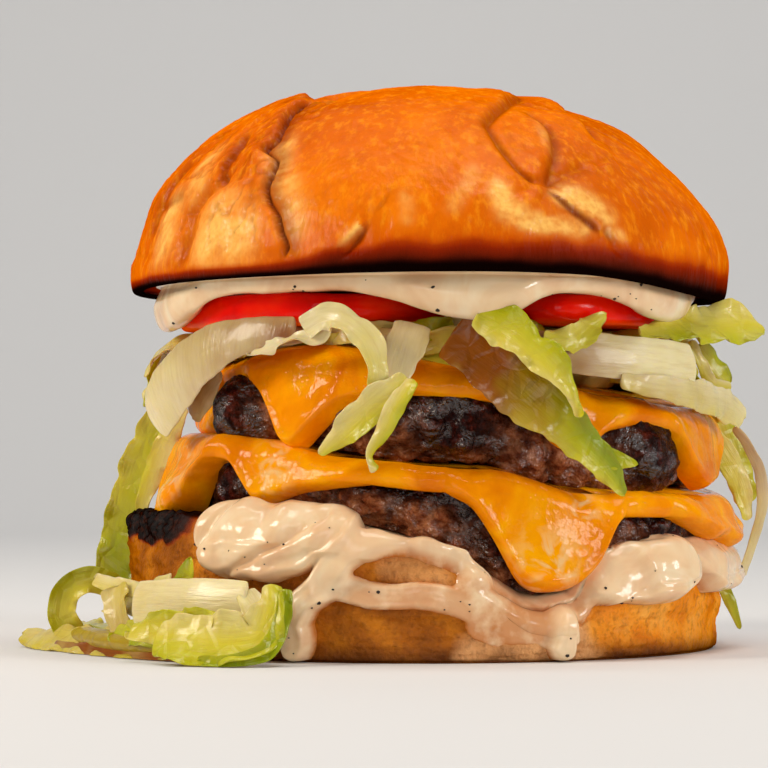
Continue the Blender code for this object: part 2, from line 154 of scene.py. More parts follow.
def spans(knots, counts):
    """Smooth curve through knots (knot, ..., axis), with counts[i] steps in span i (Catmull-Rom)."""
    rows = []
    last = len(knots) - 1
    for i, count in enumerate(counts):
        p0, p1, p2, p3 = (knots[max(0, min(last, i + k))] for k in (-1, 0, 1, 2))
        t = (np.arange(count) / count).reshape((-1,) + (1,) * (knots.ndim - 1))
        rows.append(0.5 * (2 * p1 + (p2 - p0) * t + (2 * p0 - 5 * p1 + 4 * p2 - p3) * t ** 2
                           + (3 * p1 - p0 - 3 * p2 + p3) * t ** 3))
    rows.append(knots[-1:])
    return np.concatenate(rows)


def profile(zero, pairs):
    """Knots of an outline from (radius, height) pairs, each one number or one for each bearing."""
    return np.stack([np.stack([zero + radius, zero + height], -1) for radius, height in pairs])


def bearings(count, crowding=0.35):
    """Bearings of the columns of a turned surface, closer together at the front."""
    turn = np.arange(count) / count * math.tau
    turn = np.where(turn > math.pi, turn - math.tau, turn)
    return np.degrees(turn - crowding * np.sin(turn))


def turn_out(bearing, radius, height):
    """Points of the stack from bearing, radius and height."""
    turn = np.radians(bearing)
    return np.stack(np.broadcast_arrays(radius * np.sin(turn), -radius * np.cos(turn), height), axis=-1)


def outward(grid):
    """Unit normals of a grid of points that closes on itself along its columns."""
    down = np.gradient(grid, axis=0)
    across = np.roll(grid, -1, axis=1) - np.roll(grid, 1, axis=1)
    normal = np.cross(across, down)
    return normal / np.maximum(np.linalg.norm(normal, axis=-1, keepdims=True), 1e-9)


def make(name, points, faces, material, marks=None, smooth=True):
    """Object from points in mm and faces; marks are named numbers or vectors for each point."""
    mesh = bpy.data.meshes.new(name)
    mesh.from_pydata(points * MM, [], faces)
    if smooth:
        mesh.shade_smooth()
    for mark_name, values in (marks or {}).items():
        kind, field_name = ("FLOAT_VECTOR", "vector") if values.shape[1] == 3 else ("FLOAT", "value")
        mesh.attributes.new(mark_name, kind, "POINT").data.foreach_set(field_name, values.ravel())
    mesh.materials.append(material)
    item = bpy.data.objects.new(name, mesh)
    bpy.context.scene.collection.objects.link(item)
    return item


def tube(grid, marks):
    """Points, faces and marks of rows of points: each row is a ring, the two end rows close on a point."""
    rows, columns = grid.shape[:2]
    points = np.concatenate([grid.reshape(-1, 3), grid[:1].mean(axis=1), grid[-1:].mean(axis=1)])
    column = np.arange(columns)
    beside = (column + 1) % columns
    start = (np.arange(rows - 1) * columns)[:, None]
    quads = np.stack([start + column, start + beside, start + columns + beside, start + columns + column],
                     -1)
    top = (rows - 1) * columns
    first = np.stack([beside, column, np.full(columns, rows * columns)], axis=-1)
    final = np.stack([top + column, top + beside, np.full(columns, rows * columns + 1)], axis=-1)
    flat = {shade: np.asarray(values, float).reshape(rows * columns, -1) for shade, values in marks.items()}
    flat = {shade: np.concatenate([values, values[:1], values[-1:]]) for shade, values in flat.items()}
    return points, [quads.reshape(-1, 4), first, final], flat


def lay(name, grid, material, marks=None):
    """Closed mesh from rows of points, its faces turned outward by the sign of its volume.

    marks are named numbers (or vectors) for each point, kept as attributes for the material.
    """
    points, faces, flat = tube(grid, marks or {})
    a, b, c, d = (points[faces[0][:, k]] for k in range(4))
    turn = -1 if np.einsum("ij,ij->", a, np.cross(b, c)) + np.einsum("ij,ij->", a, np.cross(c, d)) < 0 else 1
    return make(name, points, sum((part[:, ::turn].tolist() for part in faces), []), material, flat)


def dress(item, slot, *nodes):
    """The piece rides on the burger and stands for these solids, which it hides; slot is not used."""
    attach(item, "root")
    if nodes:
        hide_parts(*nodes)


def step(value, low, high):
    """0 below low, 1 above high, and a smooth rise between."""
    t = np.clip((value - low) / (high - low), 0, 1)
    return t * t * (3 - 2 * t)


def heel_radius(bearing):
    """56 mm, drawn 1.3 mm to the left, with a three-fold wander."""
    turn = np.radians(bearing)
    return 56.0 - 1.3 * np.sin(turn) + 0.4 * np.cos(3 * turn + 0.6)


def heel_height(bearing):
    """Height of the rim of the bottom bun."""
    return HEEL_MIDDLE + (ring(bearing, HEEL_TOP) - HEEL_MIDDLE) * 1.12


heel_b = bearings(560)
heel_r = heel_radius(heel_b)
heel_h = heel_height(heel_b)
heel_knots = profile(np.zeros_like(heel_b), [
    (0, 0), (0.55 * heel_r, 0), (heel_r - 3.0, 0), (heel_r - 1.3, 0.25), (heel_r - 0.6, 1.5),
    (heel_r - 0.3, 0.3 * heel_h), (heel_r + 0.5, 0.62 * heel_h), (heel_r + 0.1, heel_h - 2.6),
    (heel_r - 0.8, heel_h - 0.8), (heel_r - 2.6, heel_h - 0.2),
    (0.8 * heel_r, HEEL_MIDDLE + (heel_h - HEEL_MIDDLE) * 0.8),
    (0.4 * heel_r, HEEL_MIDDLE + (heel_h - HEEL_MIDDLE) * 0.4), (0, HEEL_MIDDLE),
])
heel = spans(heel_knots, [3, 4, 6, 8, 26, 28, 22, 10, 10, 8, 4, 3])
heel_points = turn_out(heel_b, heel[..., 0], heel[..., 1])
heel_rise = heel[..., 1] / heel_h
heel_side = step(heel[..., 0], 40, 52) * step(heel_rise, 0.0, 0.06)
char_amount = (step(heel_b, -165, -140) * (1 - step(heel_b, -58, -46)))
char_amount = char_amount * step(heel[..., 1] + 2.2 * waves(heel_points, 4.0, 5, 3), 20.0, 22.5)
relief = 0.7 * waves(heel_points, 11.0, 1, 3)
relief += 0.75 * waves(heel_points, (14.0, 14.0, 2.2), 2, 3)
relief += 0.12 * waves(heel_points, 1.3, 4, 2)
relief += (1.3 * char_amount - 0.15) * (0.4 + 1.1 * waves(heel_points, 2.6, 3, 3))
relief += 0.6 * char_amount * waves(heel_points, 1.1, 6, 2)
heel_points = heel_points + outward(heel_points) * (relief * heel_side)[..., None]
heel_points[..., 2] = np.maximum(heel_points[..., 2], 0.0)
strayed = heel_b + 9 * waves(heel_points, 6.0, 7, 2)
smear = step(strayed, 1, 9) * (1 - step(strayed, 26, 40)) * (1 - step(heel[..., 1], 9, 14))
glow = step(strayed, 14, 40) * (1 - step(heel_b, 88, 105)) * step(heel[..., 1], 0.5, 4.5)
smear = smear + 0.6 * step(heel_b, -12, -8) * (1 - step(heel_b, 2, 7)) * step(heel_rise, 0.55, 0.8)
smear = np.clip(smear, 0, 1)

# Brioche skin, baked and toasted: golden tan, browner at the foot, with a matte open grain of about a
# millimetre.  Charred crust at the left rim is near black and rough; sauce has soaked in at the front.
bun_skin, tree, shader = new_surface("toasted_brioche")
place = add(tree, "ShaderNodeTexCoord").outputs["Object"]
blotch = add(tree, "ShaderNodeTexNoise", {"Vector": place, "Scale": 1 / 0.009, "Detail": 5.0}).outputs["Fac"]
tan = add(tree, "ShaderNodeValToRGB", {"Fac": blotch},
          stops=[(0.3, "#7C4002"), (0.5, "#AC5E04"), (0.7, "#DC8614")]).outputs["Color"]
height = add(tree, "ShaderNodeSeparateXYZ", {"Vector": place}).outputs["Z"]
foot = add(tree, "ShaderNodeMapRange", {"Value": height, "From Min": 0.0, "From Max": 0.0035, "To Min": 0.75,
                                       "To Max": 0.0}).outputs["Result"]
tan = add(tree, "ShaderNodeMix", {0: foot, 6: tan, 7: linear("#3E1804")}, data_type="RGBA").outputs[2]
gold = add(tree, "ShaderNodeValToRGB", {"Fac": blotch},
           stops=[(0.3, "#DC740A"), (0.5, "#F8981E"), (0.7, "#FFB248")]).outputs["Color"]
glow_share = add(tree, "ShaderNodeAttribute", attribute_name="glow").outputs["Fac"]
tan = add(tree, "ShaderNodeMix", {0: glow_share, 6: tan, 7: gold}, data_type="RGBA").outputs[2]
soaked = add(tree, "ShaderNodeAttribute", attribute_name="smear").outputs["Fac"]
soaked = add(tree, "ShaderNodeMath", {0: soaked, 1: blotch}, operation="MULTIPLY").outputs["Value"]
soaked = add(tree, "ShaderNodeMapRange", {"Value": soaked, "From Min": 0.15,
                                          "From Max": 0.55}).outputs["Result"]
tan = add(tree, "ShaderNodeMix", {0: soaked, 6: tan, 7: linear("#E2A468")}, data_type="RGBA").outputs[2]
burnt = add(tree, "ShaderNodeAttribute", attribute_name="char").outputs["Fac"]
scorch = add(tree, "ShaderNodeValToRGB", {"Fac": burnt},
             stops=[(0.0, "#B8620C"), (0.2, "#A03C04"), (0.5, "#280A03"), (1.0, "#0C0403")]).outputs["Color"]
burnt_mask = add(tree, "ShaderNodeMapRange", {"Value": burnt, "From Min": 0.02,
                                              "From Max": 0.3}).outputs["Result"]
tan = add(tree, "ShaderNodeMix", {0: burnt_mask, 6: tan, 7: scorch}, data_type="RGBA").outputs[2]
grain = add(tree, "ShaderNodeTexNoise", {"Vector": place, "Scale": 1 / 0.0011, "Detail": 4.0}).outputs["Fac"]
speck = add(tree, "ShaderNodeMapRange", {"Value": grain, "From Min": 0.5, "From Max": 0.7, "To Max": 0.35})
tan = add(tree, "ShaderNodeMix", {0: speck.outputs["Result"], 6: tan, 7: linear("#5A2402")},
          data_type="RGBA").outputs[2]
bump = add(tree, "ShaderNodeBump", {"Height": grain, "Distance": 0.0009, "Strength": 0.9})
tree.links.new(tan, shader.inputs["Base Color"])
tree.links.new(bump.outputs["Normal"], shader.inputs["Normal"])
shader.inputs["Roughness"].default_value = 0.55
front_gloss(tree, 0.2, shader.inputs["Specular IOR Level"])
shader.inputs["Subsurface Weight"].default_value = 0.05
shader.inputs["Subsurface Radius"].default_value = (0.004, 0.0016, 0.0006)
dress(lay("bottom_bun_brioche", heel_points, bun_skin,
          {"char": char_amount, "smear": smear * heel_side, "glow": glow}), "bun_crumb", "bottom_bun")

# ------------------------------------------------------------------ lower sauce
# Mayonnaise-based burger sauce squeezed out over the bottom bun: a thick mound at the left, a band that
# swoops down into a drip and curls back under itself, smears in the middle, a bulge at the right.

# Each run of sauce: points (bearing, height on the bun's side), half width, thickness.
SAUCE_RUNS = [
    ([(-40, 22.2), (-30, 22.8), (-18, 22.6)], 6.6, 4.8),
    ([(-37, 18.6), (-28, 18.4), (-23, 20)], 5.2, 4.6),
    ([(-23.6, 3.8), (-24.6, 7), (-21.8, 11), (-17, 14.8)], 3.7, 4.2),
    ([(-18, 14.8), (-13, 19.2), (-7, 21.6), (-1, 21.8), (3, 20.6)], 2.9, 3.4),
    ([(-2, 21.4), (3, 20.4), (7, 18), (8.4, 15.8)], 3.2, 4.4),
    ([(-17, 13.4), (-11, 11.9), (-3, 12.0), (4, 11.0), (8, 8.8)], 2.9, 1.4),
    ([(9, 14.5), (14, 12), (20, 10.8), (27, 11.4)], 5.9, 0.9),
    ([(10, 9.5), (16, 8.6), (22, 8)], 3.4, 0.9),
    ([(25.4, 12.5), (24.6, 8), (24.2, 4.0)], 3.7, 3.2),
    ([(8, 6.6), (12, 5.8), (16, 6.0), (21, 5.4)], 2.6, 0.8),
    ([(35, 15.6), (41, 14.8), (47, 15.2), (51, 16.4)], 6.6, 6.2),
    ([(28, 12.6), (34, 13.0), (40, 13.2)], 3.4, 2.4),
    ([(36, 20.4), (48, 20.6), (58, 20.2), (75, 19.4), (92, 19)], 4.2, 3.8),
    ([(56, 18.6), (62, 16.2), (66, 14.2), (76, 13.8), (85, 15.2)], 3.8, 4.4),
    ([(88, 19), (100, 18.4), (114, 18), (130, 18), (146, 18.5), (158, 20)], 4.0, 3.2),
    ([(95, 18), (96.5, 13.6)], 3.2, 3.8),
    ([(113, 18), (114, 11)], 3.2, 3.0),
    ([(137, 17), (138, 8)], 3.0, 2.8),
    ([(-12, 24), (0, 22.8), (9, 18.6), (14, 15.6)], 2.8, 1.5),
]
# Folds pressed into the mound where one squeeze of sauce lay down on another.
SAUCE_FOLDS = [
    ([(-37, 15.0), (-31, 18.0), (-25, 21.0), (-19, 23.0)], 1.1),
    ([(-44, 18.4), (-41.6, 22), (-38.6, 25)], 0.9),
    ([(-27, 17.0), (-21, 18.4), (-16, 21.0)], 0.7),
    ([(40, 21), (45, 18.4), (51, 18)], 0.8),
]


def run_share(x, z, path, half):
    """Share of one run of sauce, (1 - (d / half)^2)^2, and the distance d from its middle line."""
    nearest = np.full(x.shape, 1e9)
    for (x0, z0), (x1, z1) in zip(path[:-1], path[1:]):
        length = (x1 - x0) ** 2 + (z1 - z0) ** 2
        t = np.clip(((x - x0) * (x1 - x0) + (z - z0) * (z1 - z0)) / length, 0, 1)
        nearest = np.minimum(nearest, np.hypot(x - x0 - t * (x1 - x0), z - z0 - t * (z1 - z0)))
    return np.clip(1 - (nearest / half) ** 2, 0, 1) ** 2, nearest


sauce_b = bearings(600)
rim_r, rim_h = heel_radius(sauce_b), heel_height(sauce_b)
across = np.concatenate([np.linspace(0, 40, 4), np.linspace(42, 54, 9)])[:, None] / 56.0
top_r = across * (rim_r - 2.6) / 0.964
top_z = HEEL_MIDDLE + (rim_h - HEEL_MIDDLE) * across
corner = np.linspace(0, math.pi / 2, 12)[1:, None]
corner_r = rim_r - 2.6 + 2.6 * np.sin(corner)
corner_z = rim_h - 2.6 + 2.6 * np.cos(corner)
fall = np.linspace(0, 1, 84)[1:, None]
side_z = (rim_h - 2.6) * (1 - fall) + 0.5 * fall
side_r = rim_r + 0.3 * step(rim_h - 2.6 - side_z, 0, 4) - 1.2 * (1 - step(side_z, 0, 9))
base_r = np.concatenate([np.broadcast_to(top_r, (len(across), 600)), corner_r, side_r])
base_z = np.concatenate([np.broadcast_to(top_z, (len(across), 600)), corner_z, side_z])
base = turn_out(sauce_b, base_r, base_z)
base_out = -outward(base)
unrolled = base_z + 0.9 * np.maximum(rim_r - base_r, 0)
wander = waves(base, 6.0, 11, 2)
x_on = sauce_b + 0.8 * waves(base, 7.0, 12, 2)
z_on = unrolled + 0.8 * wander
field = np.zeros(x_on.shape)
depth = np.zeros(x_on.shape)
combed = np.zeros(x_on.shape)
drawn = 2.4 * waves(base, 9.0, 15)
for path, half, thick in SAUCE_RUNS:
    share, away = run_share(x_on, z_on, path, half)
    field += share
    depth += share * thick
    combed += share * np.cos(away * 3.4 + drawn)
combed = combed / np.maximum(field, 1e-6)
edge = np.clip((field - 0.10) / 0.5, 0, 1)
depth = depth / np.maximum(field, 1e-6) * np.sqrt(1 - (1 - edge) ** 2)
depth *= 1 + 0.3 * waves(base, 6.0, 13, 2) + 0.04 * waves(base, 2.4, 14) + 0.02 * combed
holes = np.clip(1.8 * waves(base, 3.0, 16, 2) - 0.3, 0, 1) * (1 - step(depth, 0.7, 1.6))
on_top = (1 - step(base_r, 50, 55)) * step(base_z, rim_h - 2.6, rim_h - 2.0)
on_top = on_top * step(sauce_b, -52, -44) * (1 - step(sauce_b, 158, 168))
for path, pressed in SAUCE_FOLDS:
    _, away = run_share(x_on, z_on, path, 1.0)
    depth = np.maximum(depth - pressed * np.exp(-(away / 0.7) ** 2), np.minimum(depth, 0.4))
depth = (depth ** 3 + (2.1 * on_top) ** 3) ** (1 / 3)
sunk = 2.6 * np.clip((0.10 - field) / 0.09, 0, 1) + 0.5 * holes * step(depth, 0.1, 0.6)
depth = depth - sunk * (1 - on_top)
over = base + base_out * depth[..., None]
over[..., 2] = np.maximum(over[..., 2], 0.3)
under = base[::6] - base_out[::6] * 3.6
under[..., 2] = np.clip(under[..., 2], 0.6, None)
sauce_grid = np.concatenate([under, over[::-1]])
sauce_marks = np.concatenate([np.zeros((len(under), 600)), depth[::-1]])

# Emulsion sauce: opaque, creamy pink-beige, wet gloss; a little pinker and thinner at its edges.
sauce_skin, tree, shader = new_surface("burger_sauce_emulsion")
place = add(tree, "ShaderNodeTexCoord").outputs["Object"]
swirl = add(tree, "ShaderNodeTexNoise", {"Vector": place, "Scale": 1 / 0.011, "Detail": 3.0,
                                        "Distortion": 1.2}).outputs["Fac"]
cream = add(tree, "ShaderNodeValToRGB", {"Fac": swirl},
            stops=[(0.3, "#E6BA8E"), (0.5, "#EFCCA0"), (0.72, "#F5DEB8")]).outputs["Color"]
thin = add(tree, "ShaderNodeAttribute", attribute_name="depth").outputs["Fac"]
thin = add(tree, "ShaderNodeMapRange", {"Value": thin, "From Min": 0.3, "From Max": 2.5, "To Min": 1.0,
                                       "To Max": 0.0}).outputs["Result"]
film = add(tree, "ShaderNodeTexNoise", {"Vector": place, "Scale": 1 / 0.0042, "Detail": 4.0}).outputs["Fac"]
film = add(tree, "ShaderNodeMapRange", {"Value": film, "From Min": 0.3, "From Max": 0.55}).outputs["Result"]
thin = add(tree, "ShaderNodeMath", {0: thin, 1: film}, operation="MULTIPLY").outputs["Value"]
cream = add(tree, "ShaderNodeMix", {0: thin, 6: cream, 7: linear("#CC7E3C")}, data_type="RGBA").outputs[2]
ripple = add(tree, "ShaderNodeTexNoise", {"Vector": place, "Scale": 1 / 0.0035,
                                          "Detail": 2.0}).outputs["Fac"]
bump = add(tree, "ShaderNodeBump", {"Height": ripple, "Distance": 0.0005, "Strength": 0.35})
tree.links.new(cream, shader.inputs["Base Color"])
tree.links.new(bump.outputs["Normal"], shader.inputs["Normal"])
shader.inputs["Roughness"].default_value = 0.14
shader.inputs["IOR"].default_value = 1.42
shader.inputs["Subsurface Weight"].default_value = 0.15
shader.inputs["Subsurface Radius"].default_value = (0.003, 0.0016, 0.0009)
dress(lay("sauce_over_bottom_bun", sauce_grid, sauce_skin, {"depth": sauce_marks}), "sauce", "lower_sauce")

# ------------------------------------------------------------------ patties
# Two discs of coarse ground beef, smashed on a griddle: crumbly clumps 2 to 5 mm across, a near-black
# crust along the top edge and brown meat wet with fat below it.

LOWER_PATTY_TOP = [
    (-135, 36), (-90, 38), (-54, 37.8), (-43, 36.6), (-36, 36.4), (-25, 33.6), (-16, 32.8), (0, 31.2),
    (14, 31.2), (23, 28.8), (28, 27.2), (40, 27), (58, 27), (90, 27.5), (135, 30), (180, 33),
]
UPPER_PATTY_TOP = [
    (-135, 49), (-90, 50), (-54, 50.5), (-43, 51), (-28, 49.5), (0, 48.4), (14, 47.8), (28, 46), (40, 44),
    (50, 43.5), (62, 42.5), (90, 43), (135, 45), (180, 47),
]


def clumps(points, size, seed):
    """Distance to the nearest scattered centre, one centre in each cell of `size` mm: low in the
    middle of a clump of meat and high in the cracks between."""
    q = points / size
    cell = np.floor(q).astype(np.int64)
    nearest = np.full(points.shape[:-1], 9.0)
    for k in range(27):
        at = cell + np.array([k % 3 - 1, k // 3 % 3 - 1, k // 9 - 1])
        centre = np.stack([hashed(at[..., 0], at[..., 1], at[..., 2], seed + axis) for axis in range(3)],
                          axis=-1)
        nearest = np.minimum(nearest, np.linalg.norm(at + centre - q, axis=-1))
    return nearest


def lower_patty_radius(bearing):
    """50.3 mm, drawn 4 mm to the right, with a five-fold wander."""
    turn = np.radians(bearing)
    return 50.3 + 4.0 * np.sin(turn) + 0.5 * np.cos(5 * turn)


def upper_patty_radius(bearing):
    """46.6 mm, drawn 4.4 mm to the right, with a four-fold wander."""
    turn = np.radians(bearing)
    return 46.6 + 4.4 * np.sin(turn) + 0.4 * np.cos(4 * turn + 1.0)


def lower_patty_top(bearing, radius):
    """35.5 mm high at the middle, straight from there to the height at the edge."""
    return 35.5 + (ring(bearing, LOWER_PATTY_TOP) - 35.5) * radius / 50


def upper_patty_top(bearing, radius):
    """53 mm high at the middle, straight from there to the height at the edge."""
    return 53.0 + (ring(bearing, UPPER_PATTY_TOP) - 53.0) * radius / 50


def lower_patty_bottom(bearing, radius):
    """On the slope of the bottom bun, 1.2 mm clear at the middle and 1.8 mm at the edge."""
    return HEEL_MIDDLE + (ring(bearing, HEEL_TOP) - HEEL_MIDDLE) * radius / 50 + 1.2 + 0.6 * radius / 50


def upper_patty_bottom(bearing, radius):
    """3.2 mm, the slice of cheese, above the lower patty."""
    return lower_patty_top(bearing, radius) + 3.2


def patty(name, rim, bottom, top, seed, knobs, columns=620):
    """Disc from its profile at each bearing, roughened by clumps of three sizes.  Each knob is a lump of
    meat that stands out: bearing, height, half width, how far."""
    b = bearings(columns)
    r = rim(b)
    low, high = bottom(b, r), top(b, r)
    tall = high - low
    knots = profile(0 * r, [
        (0, bottom(b, 0 * r)), (0.6 * r, bottom(b, 0.6 * r)), (r - 4.4, bottom(b, r - 4.4) + 0.1),
        (r - 2.2, low + 0.10 * tall), (r - 0.5, low + 0.28 * tall), (r + 0.3, low + 0.52 * tall),
        (r, low + 0.78 * tall), (r - 1.0, low + 0.94 * tall), (r - 3.2, top(b, r - 3.2)),
        (0.6 * r, top(b, 0.6 * r)), (0, top(b, 0 * r)),
    ])
    grid = spans(knots, [3, 5, 14, 18, 22, 22, 16, 12, 5, 3])
    points = turn_out(b, grid[..., 0], grid[..., 1])
    normal = outward(points)
    stirred = points + 1.6 * waves(points, 5.0, seed + 7, 2)[..., None]
    coarse = clumps(stirred, 6.4, seed)
    middle = clumps(stirred, 3.1, seed + 3)
    rough = 2.0 * (0.52 - coarse) + 1.3 * (0.5 - middle) + 0.6 * waves(points, 1.6, seed + 9, 3)
    rough += 1.2 * waves(points, 15.0, seed + 11)
    for at, level, across, out in knobs:
        lump = np.exp(-((b - at) / across) ** 2 - ((grid[..., 1] - level) / (0.9 * across)) ** 2)
        rough = rough + out * lump
    edge = step(grid[..., 0], 0.75 * r, 0.93 * r)
    points = points + normal * (rough * edge)[..., None]
    sear = step((grid[..., 1] - low) / tall + 0.26 * waves(points, 7.0, seed + 13, 2), 0.45, 0.8)
    for at, level, across, out in knobs:
        charred = step(grid[..., 1], low + 0.05 * tall, low + 0.3 * tall)
        sear = np.maximum(sear, np.exp(-((b - at) / (1.5 * across)) ** 4) * charred)
    # The cracks between clumps also get painted shade: a darker colour where shade falls in them.
    crack_shade = step(middle * 0.5 + coarse * 0.6, 0.42, 0.8)
    return lay(name, points, beef, {"sear": sear, "crack_shade": crack_shade})


beef, tree, shader = new_surface("seared_ground_beef")
place = add(tree, "ShaderNodeTexCoord").outputs["Object"]
fleck = add(tree, "ShaderNodeTexNoise", {"Vector": place, "Scale": 1 / 0.0022, "Detail": 5.0,
                                        "Roughness": 0.65}).outputs["Fac"]
meat = add(tree, "ShaderNodeValToRGB", {"Fac": fleck},
           stops=[(0.28, "#42190A"), (0.45, "#7E4022"), (0.6, "#AA6A42"),
                  (0.78, "#CE9A72")]).outputs["Color"]
crust = add(tree, "ShaderNodeValToRGB", {"Fac": fleck},
            stops=[(0.3, "#0A0201"), (0.5, "#220602"), (0.66, "#541404"),
                   (0.82, "#8A3008")]).outputs["Color"]
sear = add(tree, "ShaderNodeAttribute", attribute_name="sear").outputs["Fac"]
meat = add(tree, "ShaderNodeMix", {0: sear, 6: meat, 7: crust}, data_type="RGBA").outputs[2]
# Painted shade: the cracks between clumps are darkened towards near black.
crack_shade = add(tree, "ShaderNodeAttribute", attribute_name="crack_shade").outputs["Fac"]
crack_shade = add(tree, "ShaderNodeMath", {0: crack_shade, 1: 0.6}, operation="MULTIPLY").outputs["Value"]
meat = add(tree, "ShaderNodeMix", {0: crack_shade, 6: meat, 7: linear("#1C0502")}, data_type="RGBA").outputs[2]
pit = add(tree, "ShaderNodeTexNoise", {"Vector": place, "Scale": 1 / 0.0009, "Detail": 3.0}).outputs["Fac"]
bump = add(tree, "ShaderNodeBump", {"Height": pit, "Distance": 0.0010, "Strength": 1.0})
gloss = add(tree, "ShaderNodeMapRange", {"Value": fleck, "From Min": 0.35, "From Max": 0.65, "To Min": 0.1,
                                        "To Max": 0.3}).outputs["Result"]
tree.links.new(meat, shader.inputs["Base Color"])
tree.links.new(gloss, shader.inputs["Roughness"])
wet = add(tree, "ShaderNodeTexNoise", {"Vector": place, "Scale": 1 / 0.0034, "Detail": 3.0}).outputs["Fac"]
wet = add(tree, "ShaderNodeMapRange", {"Value": wet, "From Min": 0.46, "From Max": 0.55}).outputs["Result"]
front_gloss(tree, wet, shader.inputs["Coat Weight"])
tree.links.new(bump.outputs["Normal"], shader.inputs["Coat Normal"])
tree.links.new(bump.outputs["Normal"], shader.inputs["Normal"])
shader.inputs["Specular IOR Level"].default_value = 0.1
shader.inputs["Coat Roughness"].default_value = 0.04
shader.inputs["Coat IOR"].default_value = 1.75
dress(patty("beef_patty_lower", lower_patty_radius, lower_patty_bottom, lower_patty_top, 21,
            [(-51, 31, 5, 3.0), (-41, 30, 5, 1.4), (17, 24, 6, 1.5), (52, 24, 7, 1.0)]),
      "beef", "lower_patty")
dress(patty("beef_patty_upper", upper_patty_radius, upper_patty_bottom, upper_patty_top, 43,
            [(-50, 44.2, 7, 7.6), (51, 37.6, 8, 4.4), (6, 45, 8, 1.2)]), "beef", "upper_patty")

# ------------------------------------------------------------------ cheese
# Slices of processed cheese melted over each patty: smooth, thick at the rounded lower edge, drawn down
# into drips where a corner of the slice hung free.

LOWER_CHEESE_EDGE = [
    (-150, 32), (-120, 28), (-90, 26), (-78, 24.4), (-70, 22.8), (-65, 23.4), (-60, 26.6), (-56, 31.4),
    (-51, 35.4), (-46, 34.8), (-42.5, 30.6), (-39.5, 27.4), (-35, 27.8), (-28, 29.6), (-15.5, 30.8),
    (-4, 31.6), (1, 31), (4, 29.0), (8, 27.6), (13, 20.6), (17, 13.4), (20.5, 12.0), (26, 12.2), (30, 13.6),
    (34.4, 17.6), (37, 23.6), (41, 26), (47, 26.4), (54, 24.4), (60, 22.6), (66, 20.4), (70, 21.2),
    (75, 18.6), (80, 19.4), (85, 20.8), (110, 22.5), (140, 27), (180, 28),
]
UPPER_CHEESE_EDGE = [
    (-150, 41), (-120, 45), (-92, 44), (-76, 40), (-66, 39.6), (-62, 43), (-58, 48.8), (-46, 50),
    (-39.5, 46.3), (-35.2, 39.6), (-32.6, 37.2), (-29.6, 37.0), (-26.6, 39.4), (-19, 45.0), (-8, 47),
    (0, 46.8), (13.3, 46), (21.4, 42.6), (27.5, 37.4), (33, 36.4), (38, 40.5), (45.6, 41.6), (55.8, 40.2),
    (62.5, 32.5), (70, 29.6), (77, 30.6), (85, 37), (115, 41), (150, 36), (180, 44),
]


def melted(name, rim, top, edge, hang, seed, round_over, dome, streaks, rows=(10, 30, 70)):
    """Sheet over a patty.  At each bearing a path runs flat over the top, round the corner and down to
    the height of `edge`; `dome` is how far the slice is propped up there.  The cheese stands off the path
    by its thickness `hang`, which swells into a bead and then closes to nothing in a half circle.
    streaks are pale spots: bearing, height, half width."""
    columns = 640
    b = bearings(columns)
    r = rim(b) + 0.5
    dome = ring(b, dome)
    high = top(b, r) + 0.5 + dome
    low = ring(b, edge, 1.3)
    c = round_over
    drop = np.maximum(high - c - low, 0.2)
    bend = c * math.pi / 2
    total = bend + drop
    flat = np.linspace(0, 1, rows[0])[:-1, None] * (r - c)
    flat_grid = np.stack([flat, top(b, flat) + 0.5 + dome * (flat / (r - c)) ** 2], axis=-1)
    way = 1 - (1 - np.linspace(0, 1, rows[1] + rows[2])[:, None]) ** 1.35
    s = way * total
    angle = np.clip(s / c, 0, math.pi / 2)
    down = np.maximum(s - bend, 0)
    bent = np.stack([r - c + c * np.sin(angle), high - c + c * np.cos(angle) - down], axis=-1)
    path = np.concatenate([flat_grid, bent])
    points = turn_out(b, path[..., 0], path[..., 1])
    normal = -outward(points)
    left = np.concatenate([np.broadcast_to(total + (r - c) - flat, flat.shape[:1] + (columns,)), total - s])
    thick = ring(b, hang, 3.0)
    past = np.concatenate([np.zeros((len(flat), columns)), s / total])
    body = 2.4 + (thick - 2.4) * step(past, 0.1, 0.75)
    body = body * (1 + 0.16 * np.exp(-((left - 1.9) / 1.6) ** 2))
    end = np.sqrt(np.clip(1 - (1 - np.minimum(left / (0.62 * body), 1)) ** 2, 0, 1))
    lumpy = 0.9 * waves(points, 12.0, seed, 2) + 0.5 * waves(points, 5.0, seed + 3, 2)
    lumpy = lumpy + 0.9 * np.clip(waves(points, 6.0, seed + 5), 0, 1) * np.clip(thick - 3.0, 0, 1.5)
    over = points + normal * ((body + lumpy * step(past, 0.0, 0.25)) * end)[..., None]
    under = points[::6] - normal[::6] * 0.1
    grid = np.concatenate([under, over[::-1]])
    near_end = np.concatenate([np.zeros((len(under), columns)), np.clip(1 - left / 3.0, 0, 1)[::-1]])
    milky = np.zeros(points.shape[:2])
    for at, level, across in streaks:
        spot = np.exp(-((b - at) / across) ** 2 - ((points[..., 2] - level) / across) ** 2)
        milky = np.maximum(milky, spot)
    milky = np.concatenate([0 * under[..., 0], milky[::-1]])
    return lay(name, grid, cheese, {"bead": near_end, "milk": milky})


